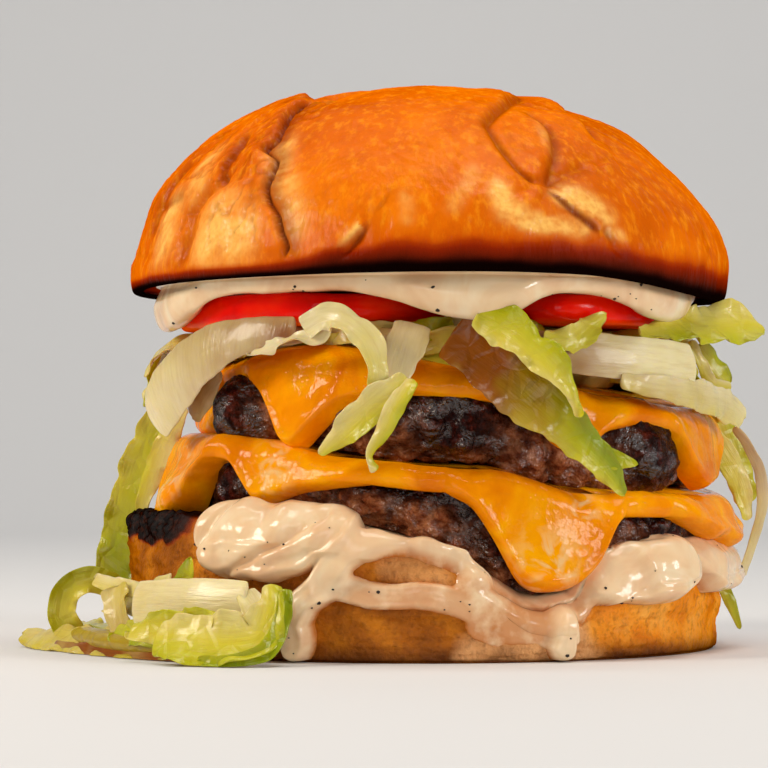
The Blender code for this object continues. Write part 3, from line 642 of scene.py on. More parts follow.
cheese, tree, shader = new_surface("melted_processed_cheese")
place = add(tree, "ShaderNodeTexCoord").outputs["Object"]
tone = add(tree, "ShaderNodeTexNoise", {"Vector": place, "Scale": 1 / 0.012, "Detail": 4.0,
                                       "Distortion": 0.8}).outputs["Fac"]
gold = add(tree, "ShaderNodeValToRGB", {"Fac": tone},
           stops=[(0.3, "#E27600"), (0.48, "#F49000"), (0.68, "#FFAC00")]).outputs["Color"]
juice = add(tree, "ShaderNodeTexNoise", {"Vector": place, "Scale": 1 / 0.006, "Detail": 4.0, "W": 3.0},
            noise_dimensions="4D").outputs["Fac"]
juice = add(tree, "ShaderNodeMapRange", {"Value": juice, "From Min": 0.62, "From Max": 0.8,
                                        "To Max": 0.45}).outputs["Result"]
gold = add(tree, "ShaderNodeMix", {0: juice, 6: gold, 7: linear("#B85400")}, data_type="RGBA").outputs[2]
milk = add(tree, "ShaderNodeAttribute", attribute_name="milk").outputs["Fac"]
curd = add(tree, "ShaderNodeTexNoise", {"Vector": place, "Scale": 1 / 0.0045, "Detail": 3.0,
                                       "Distortion": 1.0}).outputs["Fac"]
curd = add(tree, "ShaderNodeMapRange", {"Value": curd, "From Min": 0.5, "From Max": 0.62}).outputs["Result"]
curd = add(tree, "ShaderNodeMath", {0: curd, 1: 0.75}, operation="MULTIPLY").outputs["Value"]
milk = add(tree, "ShaderNodeMath", {0: milk, 1: curd}, operation="MULTIPLY").outputs["Value"]
gold = add(tree, "ShaderNodeMix", {0: milk, 6: gold, 7: linear("#F3CE94")}, data_type="RGBA").outputs[2]
dimple = add(tree, "ShaderNodeTexNoise", {"Vector": place, "Scale": 1 / 0.003, "Detail": 3.0}).outputs["Fac"]
bump = add(tree, "ShaderNodeBump", {"Height": dimple, "Distance": 0.0007, "Strength": 0.65})
tree.links.new(gold, shader.inputs["Base Color"])
tree.links.new(bump.outputs["Normal"], shader.inputs["Normal"])
shader.inputs["Roughness"].default_value = 0.08
shader.inputs["IOR"].default_value = 1.34
front_gloss(tree, 0.24, shader.inputs["Specular IOR Level"], 0.08)
shader.inputs["Subsurface Weight"].default_value = 0.08
shader.inputs["Subsurface Radius"].default_value = (0.004, 0.0015, 0.0003)
LOWER_HANG = [
    (-110, 3), (-80, 4.6), (-72, 6.4), (-64, 7.6), (-57, 5.4), (-46, 3.2), (-30, 2.8), (0, 2.3), (14, 3.0),
    (22, 4.2), (34, 3.2), (42, 2.6), (60, 3.4), (80, 4.2), (110, 3), (180, 2.4),
]
UPPER_HANG = [
    (-90, 2.4), (-40, 2.6), (-26, 4.2), (-12, 2.4), (20, 2.6), (45, 3), (70, 3.8), (110, 3), (180, 2.4),
]
PROPPED = [(-60, 0.3), (-46, 1.4), (-36, 3.0), (-22, 4.0), (-10, 3.0), (2, 1.2), (14, 0.3)]
dress(melted("cheese_on_lower_patty", lower_patty_radius, lower_patty_top, LOWER_CHEESE_EDGE, LOWER_HANG, 61,
             1.6, [(0, 0.0)], [(23, 17, 6), (30, 26, 3), (-66, 33, 6), (-34, 33, 4)]),
      "cheese", "lower_cheese")
dress(melted("cheese_on_upper_patty", upper_patty_radius, upper_patty_top, UPPER_CHEESE_EDGE, UPPER_HANG, 83,
             3.0, PROPPED, [(-70, 44, 5)]), "cheese", "upper_cheese")

# ------------------------------------------------------------------ lettuce bed
# Shredded iceberg piled on the upper cheese under the tomato: strips a few millimetres wide over a
# small core, which only shows in the gaps.

# Every strip of lettuce takes its colour from attributes: green edge or pale heart, and a wet thin leaf
# lets the light through.
leaf, tree, shader = new_surface("shredded_iceberg_lettuce")
place = add(tree, "ShaderNodeTexCoord").outputs["Object"]
green = add(tree, "ShaderNodeAttribute", attribute_name="green").outputs["Fac"]
fibre = add(tree, "ShaderNodeAttribute", attribute_name="fibre").outputs["Vector"]
streak = add(tree, "ShaderNodeTexNoise", {"Vector": fibre, "Scale": 1.0, "Detail": 4.0, "Roughness": 0.6})
streak = streak.outputs["Fac"]
flesh = add(tree, "ShaderNodeValToRGB", {"Fac": green},
            stops=[(0.0, "#EADBAE"), (0.3, "#DCCA78"), (0.55, "#D2C23C"), (0.8, "#B8B410"),
                   (1.0, "#8E9A04")])
flesh = flesh.outputs["Color"]
dull = add(tree, "ShaderNodeMapRange", {"Value": streak, "From Min": 0.45, "From Max": 0.75, "To Max": 0.2})
flesh = add(tree, "ShaderNodeMix", {0: dull.outputs["Result"], 6: flesh, 7: linear("#A87A1C")},
            data_type="RGBA")
flesh = flesh.outputs[2]
stain = add(tree, "ShaderNodeAttribute", attribute_name="stain").outputs["Fac"]
flesh = add(tree, "ShaderNodeMix", {0: stain, 6: flesh, 7: linear("#8E4C04")}, data_type="RGBA").outputs[2]
veins = add(tree, "ShaderNodeTexVoronoi", {"Vector": place, "Scale": 1 / 0.0042}, feature="DISTANCE_TO_EDGE")
veins = add(tree, "ShaderNodeMapRange", {"Value": veins.outputs["Distance"],
                                         "From Max": 0.16}).outputs["Result"]
veins = add(tree, "ShaderNodeMath", {0: veins, 1: green}, operation="MULTIPLY").outputs["Value"]
veins = add(tree, "ShaderNodeMath", {0: veins, 1: streak}, operation="ADD").outputs["Value"]
vein = add(tree, "ShaderNodeBump", {"Height": veins, "Distance": 0.0004, "Strength": 0.45})
tree.links.new(flesh, shader.inputs["Base Color"])
tree.links.new(vein.outputs["Normal"], shader.inputs["Normal"])
shader.inputs["Roughness"].default_value = 0.24
shader.inputs["Specular IOR Level"].default_value = 0.3
shader.inputs["Subsurface Weight"].default_value = 0.5
shader.inputs["Subsurface Radius"].default_value = (0.004, 0.003, 0.0006)
shader.inputs["Coat Weight"].default_value = 0.15
shader.inputs["Coat Roughness"].default_value = 0.05


def unit(vectors):
    """The same directions with length 1."""
    return vectors / np.maximum(np.linalg.norm(vectors, axis=-1, keepdims=True), 1e-9)


def strip(path, width, facing, thick=0.6, ruffle=0.0, cup=0.0, seed=0, green=(0.3, 0.3), tip=0.0,
          stain=(0.0, 0.0), twist=0.0, detail=1.0, ragged=0.14, grain=0.0):
    """Points and marks of one shred: a thin flat tube carried along a smooth path.

    width gives the half width w at stations along the path and facing the way the broad face looks.
    Across, v runs -1..1; the face stands off by cup * w * v^2 and by ruffle * |v|^2.5 * sin(2 pi s / 9.5)
    of the way s along, and is crumpled by noise.  green is the colour number on the two long edges,
    tip what it gains towards the end, stain the browning at start and end, grain the slant of the
    fibres in degrees.
    """
    path = np.asarray(path, float)
    chords = np.linalg.norm(np.diff(path, axis=0), axis=1)
    counts = np.maximum(3, (chords * 1.6 * detail).astype(int))
    line = spans(path, counts)
    knot = np.concatenate([k + np.arange(c) / c for k, c in enumerate(counts)] + [[len(counts)]])
    half = np.interp(knot, np.linspace(0, len(counts), len(width)), width)
    along = np.concatenate([[0], np.cumsum(np.linalg.norm(np.diff(line, axis=0), axis=1))])
    ends = np.minimum(along, along[-1] - along)
    half = half * np.sqrt(np.clip(1 - (1 - np.minimum(ends / 0.7, 1)) ** 2, 0.03, 1))
    tangent = unit(np.gradient(line, axis=0))
    look = np.asarray(facing, float)
    look = look if look.ndim == 2 else np.repeat(look[None], len(path), axis=0)
    look = np.stack([np.interp(knot, np.arange(len(path)), look[:, k]) for k in range(3)], axis=1)
    turn = twist * (along / along[-1] - 0.5)
    side = unit(np.cross(tangent, look))
    face = unit(np.cross(side, tangent))
    side, face = (side * np.cos(turn)[:, None] + face * np.sin(turn)[:, None],
                  face * np.cos(turn)[:, None] - side * np.sin(turn)[:, None])
    columns = 16 if detail < 1 else 34
    theta = np.arange(columns) / columns * math.tau
    v = (np.sign(np.cos(theta)) * np.abs(np.cos(theta)) ** 0.8)[None, :]
    s = along[:, None] + 0 * v
    hand = np.where(v >= 0, 1.0, -1.0) + 0 * s
    lane = np.stack([s, 7.0 * hand + 11.0 * seed, 0 * s], axis=-1)
    wide = half[:, None] * (1 + ragged * (waves(lane, 5.0, 3, 2) + 0.5 * waves(lane, 1.6, 4)) * np.abs(v))
    edge = np.abs(v) ** 2.5
    phase = 2.1 * hand + 1.6 * waves(lane, 12.0, 6) + seed
    wave = ruffle * edge * (np.sin(s * math.tau / 9.5 + phase) + 0.4 * np.sin(s * math.tau / 4.1 + 2 * phase))
    sheet = 0.5 * thick * np.minimum(1, wide / 1.5) * np.sign(np.sin(theta)) * np.abs(np.sin(theta)) ** 0.6
    points = line[:, None] + side[:, None] * (wide * v)[..., None]
    crumple = 0.7 * waves(points + 9 * seed, 6.0, 5, 2) + 0.16 * waves(points + 5 * seed, 1.9, 8)
    offset = cup * wide * v ** 2 + wave + sheet + crumple * (0.35 + 0.65 * edge) * min(1.0, 0.4 + ruffle)
    points = points + face[:, None] * offset[..., None]
    share = s / along[-1]
    tint = green[0] + (green[1] - green[0]) * (v + 1) / 2 + tip * share
    tint = tint + 0.14 * waves(points + 5 * seed, 6.0, 9, 2)
    brown = stain[0] + (stain[1] - stain[0]) * share
    brown = np.clip(brown * (1 + 0.5 * waves(points + 3 * seed, 5.0, 10, 2)), 0, 1)
    x, y = v * wide, s
    slant = math.radians(grain)
    over_grain = 1.5 * (x * math.cos(slant) + y * math.sin(slant)) + 20 * seed
    with_grain = 0.16 * (y * math.cos(slant) - x * math.sin(slant))
    fibre = np.stack(np.broadcast_arrays(over_grain, with_grain, 0.4 + 0 * s), axis=-1)
    return points, {"green": np.clip(tint, 0, 1), "fibre": fibre, "stain": brown}


def bundle(name, strips, material):
    """One mesh from many strips, each a closed tube with its own ends."""
    count, points, faces, marks = 0, [], [], {}
    for grid, shades in strips:
        own_points, own_faces, own_marks = tube(grid, shades)
        for part in own_faces:
            faces += (part + count)[:, ::-1].tolist()
        for shade, values in own_marks.items():
            marks.setdefault(shade, []).append(values)
        points.append(own_points)
        count += len(own_points)
    marks = {shade: np.concatenate(values) for shade, values in marks.items()}
    return make(name, np.concatenate(points), faces, material, marks)


rng = np.random.default_rng(12)
bed_b = bearings(120, 0.0)
bed_r = 35.0
low = upper_patty_top(bed_b, bed_r) + 3.6
bed = profile(np.zeros_like(bed_b), [
    (0, 56.6), (0.7 * bed_r, (low - 56.6) * 0.7 + 56.6), (bed_r, low), (bed_r + 1,
                                                                        np.maximum(low + 1, 57.6)),
    (bed_r, 58.4), (0, 58.6),
])
bed_line = spans(bed, [4, 6, 4, 4, 8])
bed_points = turn_out(bed_b, bed_line[..., 0], bed_line[..., 1])
plain = np.ones(bed_line.shape[:2])
dress(lay("lettuce_bed_core", bed_points, leaf,
          {"green": 0.35 * plain, "fibre": bed_points * 0.4, "stain": 0.4 * plain}), "lettuce")
bed_strips = []
for k in range(110):
    b = rng.uniform(-180, 180)
    reach = 40.5 + 3.2 * rng.random()
    low_here = float(upper_patty_top(np.array([b]), 40.0)[0]) + 4.4
    high_here = 59.4 + 2.6 * (abs(b) > 100)
    level = low_here + (high_here - low_here) * rng.random()
    swing = rng.uniform(6, 20) * rng.choice([-1, 1])
    bs = np.array([b - swing, b - swing * 0.4, b + swing * 0.3, b + swing])
    rs = reach + rng.uniform(-2.5, 1.5, 4) - np.array([5, 0, 0, 6])
    zs = np.clip(level + rng.uniform(-1.6, 1.6, 4), low_here, high_here)
    path = turn_out(bs, rs, zs)
    face = turn_out(bs, np.ones(4), 0.7 * rng.standard_normal(4))
    tone = rng.choice([0.1, 0.25, 0.4, 0.6, 0.85], p=[0.2, 0.25, 0.25, 0.2, 0.1])
    bed_strips.append(strip(path, [1.4, 2.2, 2.2, 1.2], face, ruffle=rng.uniform(0.2, 0.7), cup=0.15, seed=k,
                            green=(tone, tone + 0.15), stain=(0.3, 0.5 * rng.random()),
                            twist=rng.uniform(-1, 1), detail=0.7))
dress(bundle("lettuce_bed_shreds", bed_strips, leaf), "lettuce", "lettuce_bed")

# ------------------------------------------------------------------ tomato
# Two slices of beefsteak tomato side by side: wet skin at the rim, glossy flesh at the cut.

TOMATO_LOW, TOMATO_HIGH = 59.9, 65.5
tomato, tree, shader = new_surface("tomato_skin")
place = add(tree, "ShaderNodeTexCoord").outputs["Object"]
mottle = add(tree, "ShaderNodeTexNoise", {"Vector": place, "Scale": 1 / 0.010, "Detail": 4.0}).outputs["Fac"]
red = add(tree, "ShaderNodeValToRGB", {"Fac": mottle},
          stops=[(0.3, "#D00600"), (0.5, "#F01000"), (0.72, "#FA2C00")]).outputs["Color"]
cut = add(tree, "ShaderNodeAttribute", attribute_name="cut").outputs["Fac"]
red = add(tree, "ShaderNodeMix", {0: cut, 6: red, 7: linear("#F25A04")}, data_type="RGBA").outputs[2]
wet = add(tree, "ShaderNodeTexNoise", {"Vector": place, "Scale": 1 / 0.002, "Detail": 3.0}).outputs["Fac"]
bump = add(tree, "ShaderNodeBump", {"Height": wet, "Distance": 0.0004, "Strength": 0.35})
tree.links.new(red, shader.inputs["Base Color"])
tree.links.new(bump.outputs["Normal"], shader.inputs["Normal"])
shader.inputs["Roughness"].default_value = 0.16
front_gloss(tree, 0.18, shader.inputs["Specular IOR Level"])
shader.inputs["Subsurface Weight"].default_value = 0.12
shader.inputs["Subsurface Radius"].default_value = (0.004, 0.0006, 0.0003)


def slice_of_tomato(name, node, centre, radii, tilt):
    """Rounded disc: an ellipse whose rim follows half a circle, pressed in where it nears the sauce
    lip, with shallow lobes; tilt sets how much of the orange cut shows at its lower side."""
    turn = np.arange(300) / 300 * math.tau
    lobes = 1 + 0.02 * np.cos(5 * turn + 1)
    half = (TOMATO_HIGH - TOMATO_LOW) / 2
    middle = (TOMATO_HIGH + TOMATO_LOW) / 2
    arc = np.linspace(-math.pi / 2, math.pi / 2, 26)
    inset = np.concatenate([[1.0, 0.7, 0.3], half * (1 - np.cos(arc)) / 26.0, [0.3, 0.7, 1.0]])
    level = np.concatenate([[-half] * 3, half * np.sin(arc), [half] * 3])
    share = (1 - inset)[:, None] * lobes
    x = centre[0] + radii[0] * share * np.sin(turn)
    y = centre[1] - radii[1] * share * np.cos(turn)
    far = np.hypot(x, y)
    pulled = np.where(far > 43, 43 + 7.0 * np.tanh((far - 43) / 7.0), far)
    x, y = x * pulled / np.maximum(far, 1e-6), y * pulled / np.maximum(far, 1e-6)
    grid = np.stack([x, y, np.broadcast_to(middle + level[:, None], x.shape)], axis=-1)
    rim = np.broadcast_to(step(share, 0.7, 0.95), x.shape)
    shape = waves(grid, 8.0, 31, 2) * 0.35
    grid = grid + outward(grid) * (shape * rim)[..., None]
    cut_mark = np.broadcast_to(step(-level[:, None], 1.4, 2.7), x.shape) * (0.35 + 0.65 * tilt)
    dress(lay(name, grid, tomato, {"cut": cut_mark}), "tomato", node)


slice_of_tomato("tomato_slice_left", "tomato_left", (-22.0, -13.0), (27.6, 31.8), 1.0)
slice_of_tomato("tomato_slice_right", "tomato_right", (27.0, -11.0), (19.8, 30.8), 0.3)

# ------------------------------------------------------------------ upper sauce
# The same sauce spread under the top bun: it squeezes out over the tomato as a soft rolled lip, with a
# long lobe at the left, a broad belly in the middle and a short lobe at the right.

UPPER_SAUCE_EDGE = [
    (-120, 65.2), (-94, 62.2), (-84, 60.4), (-76, 59.6), (-67.5, 59.8), (-56.5, 62.5), (-52, 64.0),
    (-50, 64.7), (-44, 65.4), (-28, 65.7), (-16.6, 65.4), (-6.2, 63.6), (2, 60.9), (10, 60.0), (15.4, 60.8),
    (20, 63.4), (25, 65.4), (35, 65.4), (43, 63.4), (50, 61.4), (58, 60.9), (66, 61.6), (74, 64.4),
    (85, 65.4), (130, 65.2), (170, 62.5),
]
UPPER_SAUCE_RADIUS = [
    (-130, 50.5), (-90, 52.0), (-66, 52.8), (-40, 53.6), (20, 53.8), (50, 53.2), (75, 51.2), (95, 50),
    (160, 50.5),
]
lip_b = bearings(520)
outer = ring(lip_b, UPPER_SAUCE_RADIUS)
hang = ring(lip_b, UPPER_SAUCE_EDGE, 1.8)
floor_z, ceiling_z = 65.9, 68.6
belly = step(64.5 - hang, 0, 3)
inner = np.minimum(50.4, outer - 2.4 - 1.4 * belly)
lip = profile(np.zeros_like(lip_b), [
    (0, floor_z), (0.7 * inner, floor_z), (inner - 0.4, floor_z),
    (inner, np.minimum(floor_z - 0.2, hang + 1.6)), (inner + 0.5, np.minimum(floor_z - 0.3, hang + 0.7)),
    (0.5 * (inner + outer) + 0.2, np.minimum(hang, floor_z - 0.4)),
    (outer - 0.3 + 0.3 * belly, np.minimum(hang + 0.8, floor_z - 0.1)),
    (outer + 0.2 + 0.9 * belly, 0.55 * np.minimum(hang + 1.2, floor_z) + 0.45 * ceiling_z),
    (outer + 0.1 - 0.5 * belly, ceiling_z - 0.5), (outer - 1.2, ceiling_z + 0.1),
    (0.6 * inner, ceiling_z), (0, ceiling_z),
])
lip_line = spans(lip, [3, 4, 5, 4, 8, 8, 12, 12, 8, 4, 3])
lip_points = turn_out(lip_b, lip_line[..., 0], lip_line[..., 1])
lip_edge = step(lip_line[..., 0], 47, 51)
lip_points = lip_points + outward(lip_points) * (
    (0.45 * waves(lip_points, (14, 14, 5), 71, 2) + 0.12 * waves(lip_points, 3.0, 72)) * lip_edge)[..., None]
dress(lay("sauce_under_top_bun", lip_points, sauce_skin, {"depth": 2.6 + 0 * lip_edge}),
      "sauce", "upper_sauce")

# ------------------------------------------------------------------ top bun
# Brioche dome glazed with egg and baked glossy orange-brown.  It was squeezed while warm: the skin is
# folded along a deep crease at the front left and buckled into short creases at the right shoulder.
# The rim of the cut face is toasted nearly black and droops to the right.

BUN_BASE, BUN_TOP = 68.7, 106.3
# Radius of the dome at each share of its height, on the left and on the right.
DOME_UP = (0.075, 0.17, 0.30, 0.44, 0.61, 0.765, 0.868, 0.945, 0.986)
DOME_LEFT = (57.4, 56.6, 55.2, 53.2, 48.3, 41.8, 34.6, 25.0, 13.6)
DOME_RIGHT = (57.5, 57.1, 55.3, 51.4, 45.4, 37.8, 29.6, 21.6, 11.6)
# Height of the lowest line of the rim, which droops to the right.
RIM_LOW = [
    (-90, 67.3), (-60, 67.9), (-30, 68.2), (-5, 68.6), (15, 68.7), (31, 68.3), (43, 67.2), (55, 66.0),
    (66, 65.3), (90, 65.6), (130, 66.8), (180, 67.3),
]
# Creases of the skin: points (bearing, height), groove depth, groove width, step of the right side over
# the left, and how far the step reaches.
CREASES = [
    ([(-46, 102.6), (-44, 99.5), (-40.5, 96.5), (-39, 93.5), (-39.5, 91.6), (-35.5, 90), (-34.5, 87.5),
      (-34.6, 85), (-33, 82), (-30.4, 79.5), (-28.6, 76), (-27.2, 73.5), (-27, 69)], 1.4, 0.5, 1.5, 10.0),
    ([(-46, 102.6), (-60, 103.6), (-90, 104.0)], 0.6, 0.9, 1.6, 9.0),
    ([(-50.5, 96), (-48.5, 92.5), (-48, 89.5), (-47, 87), (-45, 84)], 0.7, 0.9, 0.9, 5.0),
    ([(-48, 86), (-51, 83.5), (-53, 81), (-52.6, 77), (-53.4, 74), (-53, 69)], 1.1, 1.9, 0.5, 5.0),
    ([(-41, 91.4), (-39.4, 88.2)], -0.9, 1.6, 0.0, 2.0),
    ([(-72, 83), (-64, 83.6), (-57, 84.6)], 0.4, 1.5, 0.4, 4.0),
    ([(-66, 92), (-69, 84), (-70, 76)], 0.5, 1.3, 0.7, 6.0),
    ([(-10.6, 78), (-12.4, 75.5), (-14.6, 73), (-16, 71.4), (-18, 69.4)], 0.9, 0.6, 1.7, 3.5),
    ([(90, 106.0), (60, 105), (36, 103), (22, 100), (14.4, 96.8), (14, 94.5), (15, 92), (16.4, 89),
      (18, 86.8), (22, 84)], 0.8, 1.1, 0.8, 6.0),
    ([(21, 83.6), (26, 85.5), (31, 87.4), (37, 88.6)], 0.6, 2.0, -0.6, 5.0),
    ([(22.4, 84), (25, 87.5), (28, 91), (30, 93.6), (31.4, 96.2), (30, 100)], 0.7, 1.1, 0.7, 4.0),
    ([(22, 84), (25, 81), (27, 79.2), (29.4, 77.4), (32.4, 75)], 0.5, 0.7, -0.7, 4.0),
    ([(36, 103), (40, 101), (47, 100), (55, 98.4), (59, 95), (62, 90.5), (65, 86.5), (66, 81.5), (64, 75.5)],
     0.8, 1.7, 0.9, 7.0),
    ([(100, 104.6), (70, 102.6), (54, 99.8), (47, 96.4), (46, 93.6)], 0.9, 1.2, 1.3, 7.0),
    ([(32, 77.4), (34.4, 73.6), (37, 70)], 0.5, 0.9, 0.5, 4.0),
    ([(-38, 100.6), (-32.4, 101.9), (-24, 103)], 0.3, 1.2, -0.4, 5.0),
    ([(96, 100), (99, 92), (94, 84), (97, 76), (95, 69)], 0.7, 1.3, 0.5, 8.0),
    ([(142, 103), (138, 96), (143, 90), (139, 84)], 0.6, 1.8, 1.0, 8.0),
    ([(-160, 101), (-154, 94), (-158, 87), (-153, 80), (-155, 69)], 0.6, 1.4, 0.5, 8.0),
    ([(-112, 103), (-107, 97), (-110, 91), (-106, 86)], 0.5, 2.0, 0.9, 8.0),
    ([(-90, 92), (-93, 84), (-90, 76)], 0.6, 1.6, 0.9, 6.0),
    ([(178, 90), (172, 83), (175, 76), (172, 69)], 0.5, 1.6, 0.8, 7.0),
]


def dome_radius(bearing, height):
    """Radius of the smooth dome at a height: the left and right profiles, mixed by the bearing."""
    turn = np.radians(bearing)
    share = (height - BUN_BASE) / (BUN_TOP - BUN_BASE)
    left = np.interp(share, DOME_UP + (1.0,), DOME_LEFT + (0.0,))
    right = np.interp(share, DOME_UP + (1.0,), DOME_RIGHT + (0.0,))
    return left + (right - left) * (1 + np.sin(turn)) / 2 + 0.4 * np.sin(3 * turn + 0.5)


def crease_relief(points, bearing, height, path, groove, narrow, lift, reach):
    """Relief of one crease at signed distance d (right of the line positive, in space):
    lift * exp(-(d / reach)^2) * tanh(d / 0.45) / 2 less groove * exp(-((d + 0.2) / narrow)^2)."""
    path_b, path_z = (np.array(v, float) for v in zip(*path))
    smooth = spans(np.stack([path_b, path_z], axis=-1), [6] * (len(path) - 1))
    path_b, path_z = smooth[:, 0], smooth[:, 1]
    line = turn_out(path_b, dome_radius(path_b, path_z), path_z)
    near = np.full(bearing.shape, 1e9)
    sign = np.zeros(bearing.shape)
    for k in range(len(line) - 1):
        a, along = line[k], line[k + 1] - line[k]
        t = np.clip(((points - a) @ along) / (along @ along), 0, 1)
        d = np.linalg.norm(points - a - t[..., None] * along, axis=-1)
        cross = ((bearing - path_b[k]) * (path_z[k + 1] - path_z[k])
                 - (height - path_z[k]) * (path_b[k + 1] - path_b[k]))
        sign = np.where(d < near, cross, sign)
        near = np.minimum(near, d)
    d = near * np.where(sign * (path_z[0] - path_z[-1]) > 0, 1.0, -1.0)
    ends = np.minimum(np.linalg.norm(points - line[0], axis=-1), np.linalg.norm(points - line[-1], axis=-1))
    fade = step(ends, 0.0, 1.5 + 2.0 * abs(lift))
    cut = np.exp(-((d + 0.2) / narrow) ** 2)
    bend = 0.5 * lift * np.tanh(d / 0.45) * np.exp(-(d / reach) ** 2) - groove * cut
    return fade * bend, fade * cut * min(1.0, 0.7 / narrow) * (groove > 0), np.where(fade > 0.5, d, 99.0)


bun_b = bearings(530, 0.5)
turn = np.radians(bun_b)
rim_r = 57.5 + 0.4 * np.sin(3 * turn + 0.5)
droop = BUN_BASE - ring(bun_b, RIM_LOW, 4.0)
rise = BUN_TOP - BUN_BASE
stations = [
    (0, BUN_BASE), (0.6 * rim_r, BUN_BASE), (0.93 * rim_r, BUN_BASE),
    (0.955 * rim_r, BUN_BASE - 0.75 * droop), (0.975 * rim_r, BUN_BASE - droop), (0.992 * rim_r,
                                                                                  BUN_BASE - 0.5 * droop),
]
stations += [(dome_radius(bun_b, BUN_BASE + up * rise), BUN_BASE + up * rise) for up in DOME_UP]
knots = profile(np.zeros_like(bun_b), stations + [(0, BUN_TOP)])
bun_line = spans(knots, [2, 3, 4, 5, 6, 9, 14, 20, 23, 27, 25, 18, 13, 9, 6])
bun_at = np.broadcast_to(bun_b, bun_line.shape[:2])
bun_points = turn_out(bun_at, bun_line[..., 0], bun_line[..., 1])
bun_out = outward(bun_points)
skin_share = step(bun_line[..., 1], 69.5, 73.5) * step(np.hypot(bun_points[..., 0], bun_points[..., 1]), 1,
                                                       9)
swell = 0.9 * waves(bun_points, 30.0, 101, 2) + 0.28 * waves(bun_points, 9.0, 103, 2)
crinkle = np.zeros(bun_at.shape)
crease_shade_mask = np.zeros(bun_at.shape)
lips = []
# Each crease gives relief, and its groove mask also becomes painted shade in the colour.
for path, groove, narrow, lift, reach in CREASES:
    bend, cut, aside = crease_relief(bun_points, bun_at, bun_line[..., 1], path, groove, narrow, lift, reach)
    crinkle += bend
    crease_shade_mask = np.maximum(crease_shade_mask, cut)
    lips.append(aside)
# The dough left of the main crease is pulled under it; its shade there is painted into the colour.
crease_shade_mask = np.maximum(crease_shade_mask, 0.6 * np.exp(-((lips[0] + 1.6) / 1.7) ** 2) * (lips[0] < 0.2))
drift = 5.0 * waves(bun_points, 18.0, 108)
way = np.radians(np.where(bun_at < -20, 75.0, -28.0) + 22 * waves(bun_points, 25.0, 109))
flat_x, flat_z = bun_at * 0.95 + drift, bun_line[..., 1] * 1.3 + 0.6 * drift
grooves = np.stack([(flat_x * np.cos(way) + flat_z * np.sin(way)) / 6.0,
                    (flat_z * np.cos(way) - flat_x * np.sin(way)) / 1.1,
                    0 * flat_x], axis=-1)
# At the right the skin is drawn in rings around the point where the creases meet.
from_pinch = np.hypot(flat_x - 21.5, flat_z - 1.3 * 84)
about = np.arctan2(flat_z - 1.3 * 84, flat_x - 21.5)
rings = np.stack([from_pinch / 1.2, 4 * np.cos(about), 4 * np.sin(about)], axis=-1)
ringed = step(bun_at, 2, 12) * (1 - step(bun_at, 80, 95))
pull = np.clip(0.35 + 1.3 * waves(bun_points, 16.0, 110), 0, 1)
streaks = (1 - ringed) * waves(grooves, 1.0, 107, 2) + ringed * waves(rings, 1.0, 115, 2)
pocks = 0.2 * streaks * pull + 0.07 * waves(bun_points, 1.2, 106)
# Left of the main crease the skin is slack, with a net of fine wrinkles.
slack = (1 - step(bun_at, -34, -27)) * step(bun_at, -100, -70) * step(bun_line[..., 1], 72, 76)
wrinkles = slack * np.clip(1 - np.abs(waves(bun_points, (4.2, 4.2, 7.0), 118, 3)) / 0.16, 0, 1) ** 1.5
pocks -= 0.32 * wrinkles
# The fine wrinkles get painted shade as well.
crease_shade_mask = np.maximum(crease_shade_mask, 0.4 * wrinkles)
bun_points = bun_points + bun_out * ((swell + crinkle + pocks) * skin_share)[..., None]

narrowed = 1 - 0.65 * step(bun_b, -160, -110) * (1 - step(bun_b, -34, -6))
above_rim = (bun_line[..., 1] - ring(bun_b, RIM_LOW, 4.0)) / narrowed
# Darker towards the rim: partly the toasted edge of the crust, partly painted shade on the lower dome, where
# less light falls.
toast_and_shade = 1 - step(above_rim + 1.1 * waves(bun_points, 6.0, 112, 3), 0.6, 9.0)
singe = 1 - step(above_rim + 0.5 * waves(bun_points, 5.0, 114, 2), 0.9, 2.6)
# Pads between the creases and the lips of the folds are paler: partly thinner glaze, partly a painted
# highlight standing in for the lamps' sheen.
PALE_AND_SHEEN_PADS = [
    ([(-61, 81), (-61, 76)], 4.4, 1.0),
    ([(-43, 79), (-45, 74), (-38, 76)], 5.2, 1.2),
    ([(-56, 90), (-54, 86)], 3.4, 0.7),
    ([(-35, 91.6), (-32, 87), (-27.4, 81.5), (-26, 77)], 3.0, 0.8),
    ([(12.6, 82.6), (13.4, 79.6), (17, 77.4), (28, 76.2)], 2.2, 1.2),
    ([(25.6, 82.6), (30, 81.4), (33.4, 79.4)], 2.6, 1.2),
    ([(34, 76), (36.4, 75.6)], 1.3, 1.0),
    ([(29, 95.6), (28, 92.4)], 1.8, 0.5),
    ([(8.6, 86), (4, 80)], 1.6, 0.4),
    ([(-4, 78), (-4.4, 82)], 1.4, 0.4),
]
pale_and_sheen = np.zeros(bun_at.shape)
for path, half, amount in PALE_AND_SHEEN_PADS:
    _, away = run_share(bun_at, bun_line[..., 1], path, half)
    pale_and_sheen = np.maximum(pale_and_sheen, amount * np.exp(-(away / half) ** 2.6))
# The right lip of the crease at the front gets a pale line of painted highlight.
pale_lip_distance = lips[7]
pale_and_sheen = pale_and_sheen * (0.72 + 0.7 * waves(bun_points, 3.2, 113, 3) + 0.45 * streaks)
pale_and_sheen = np.clip(np.maximum(pale_and_sheen, 1.1 * np.exp(-((pale_lip_distance - 0.9) / 0.7) ** 2)), 0, 1)

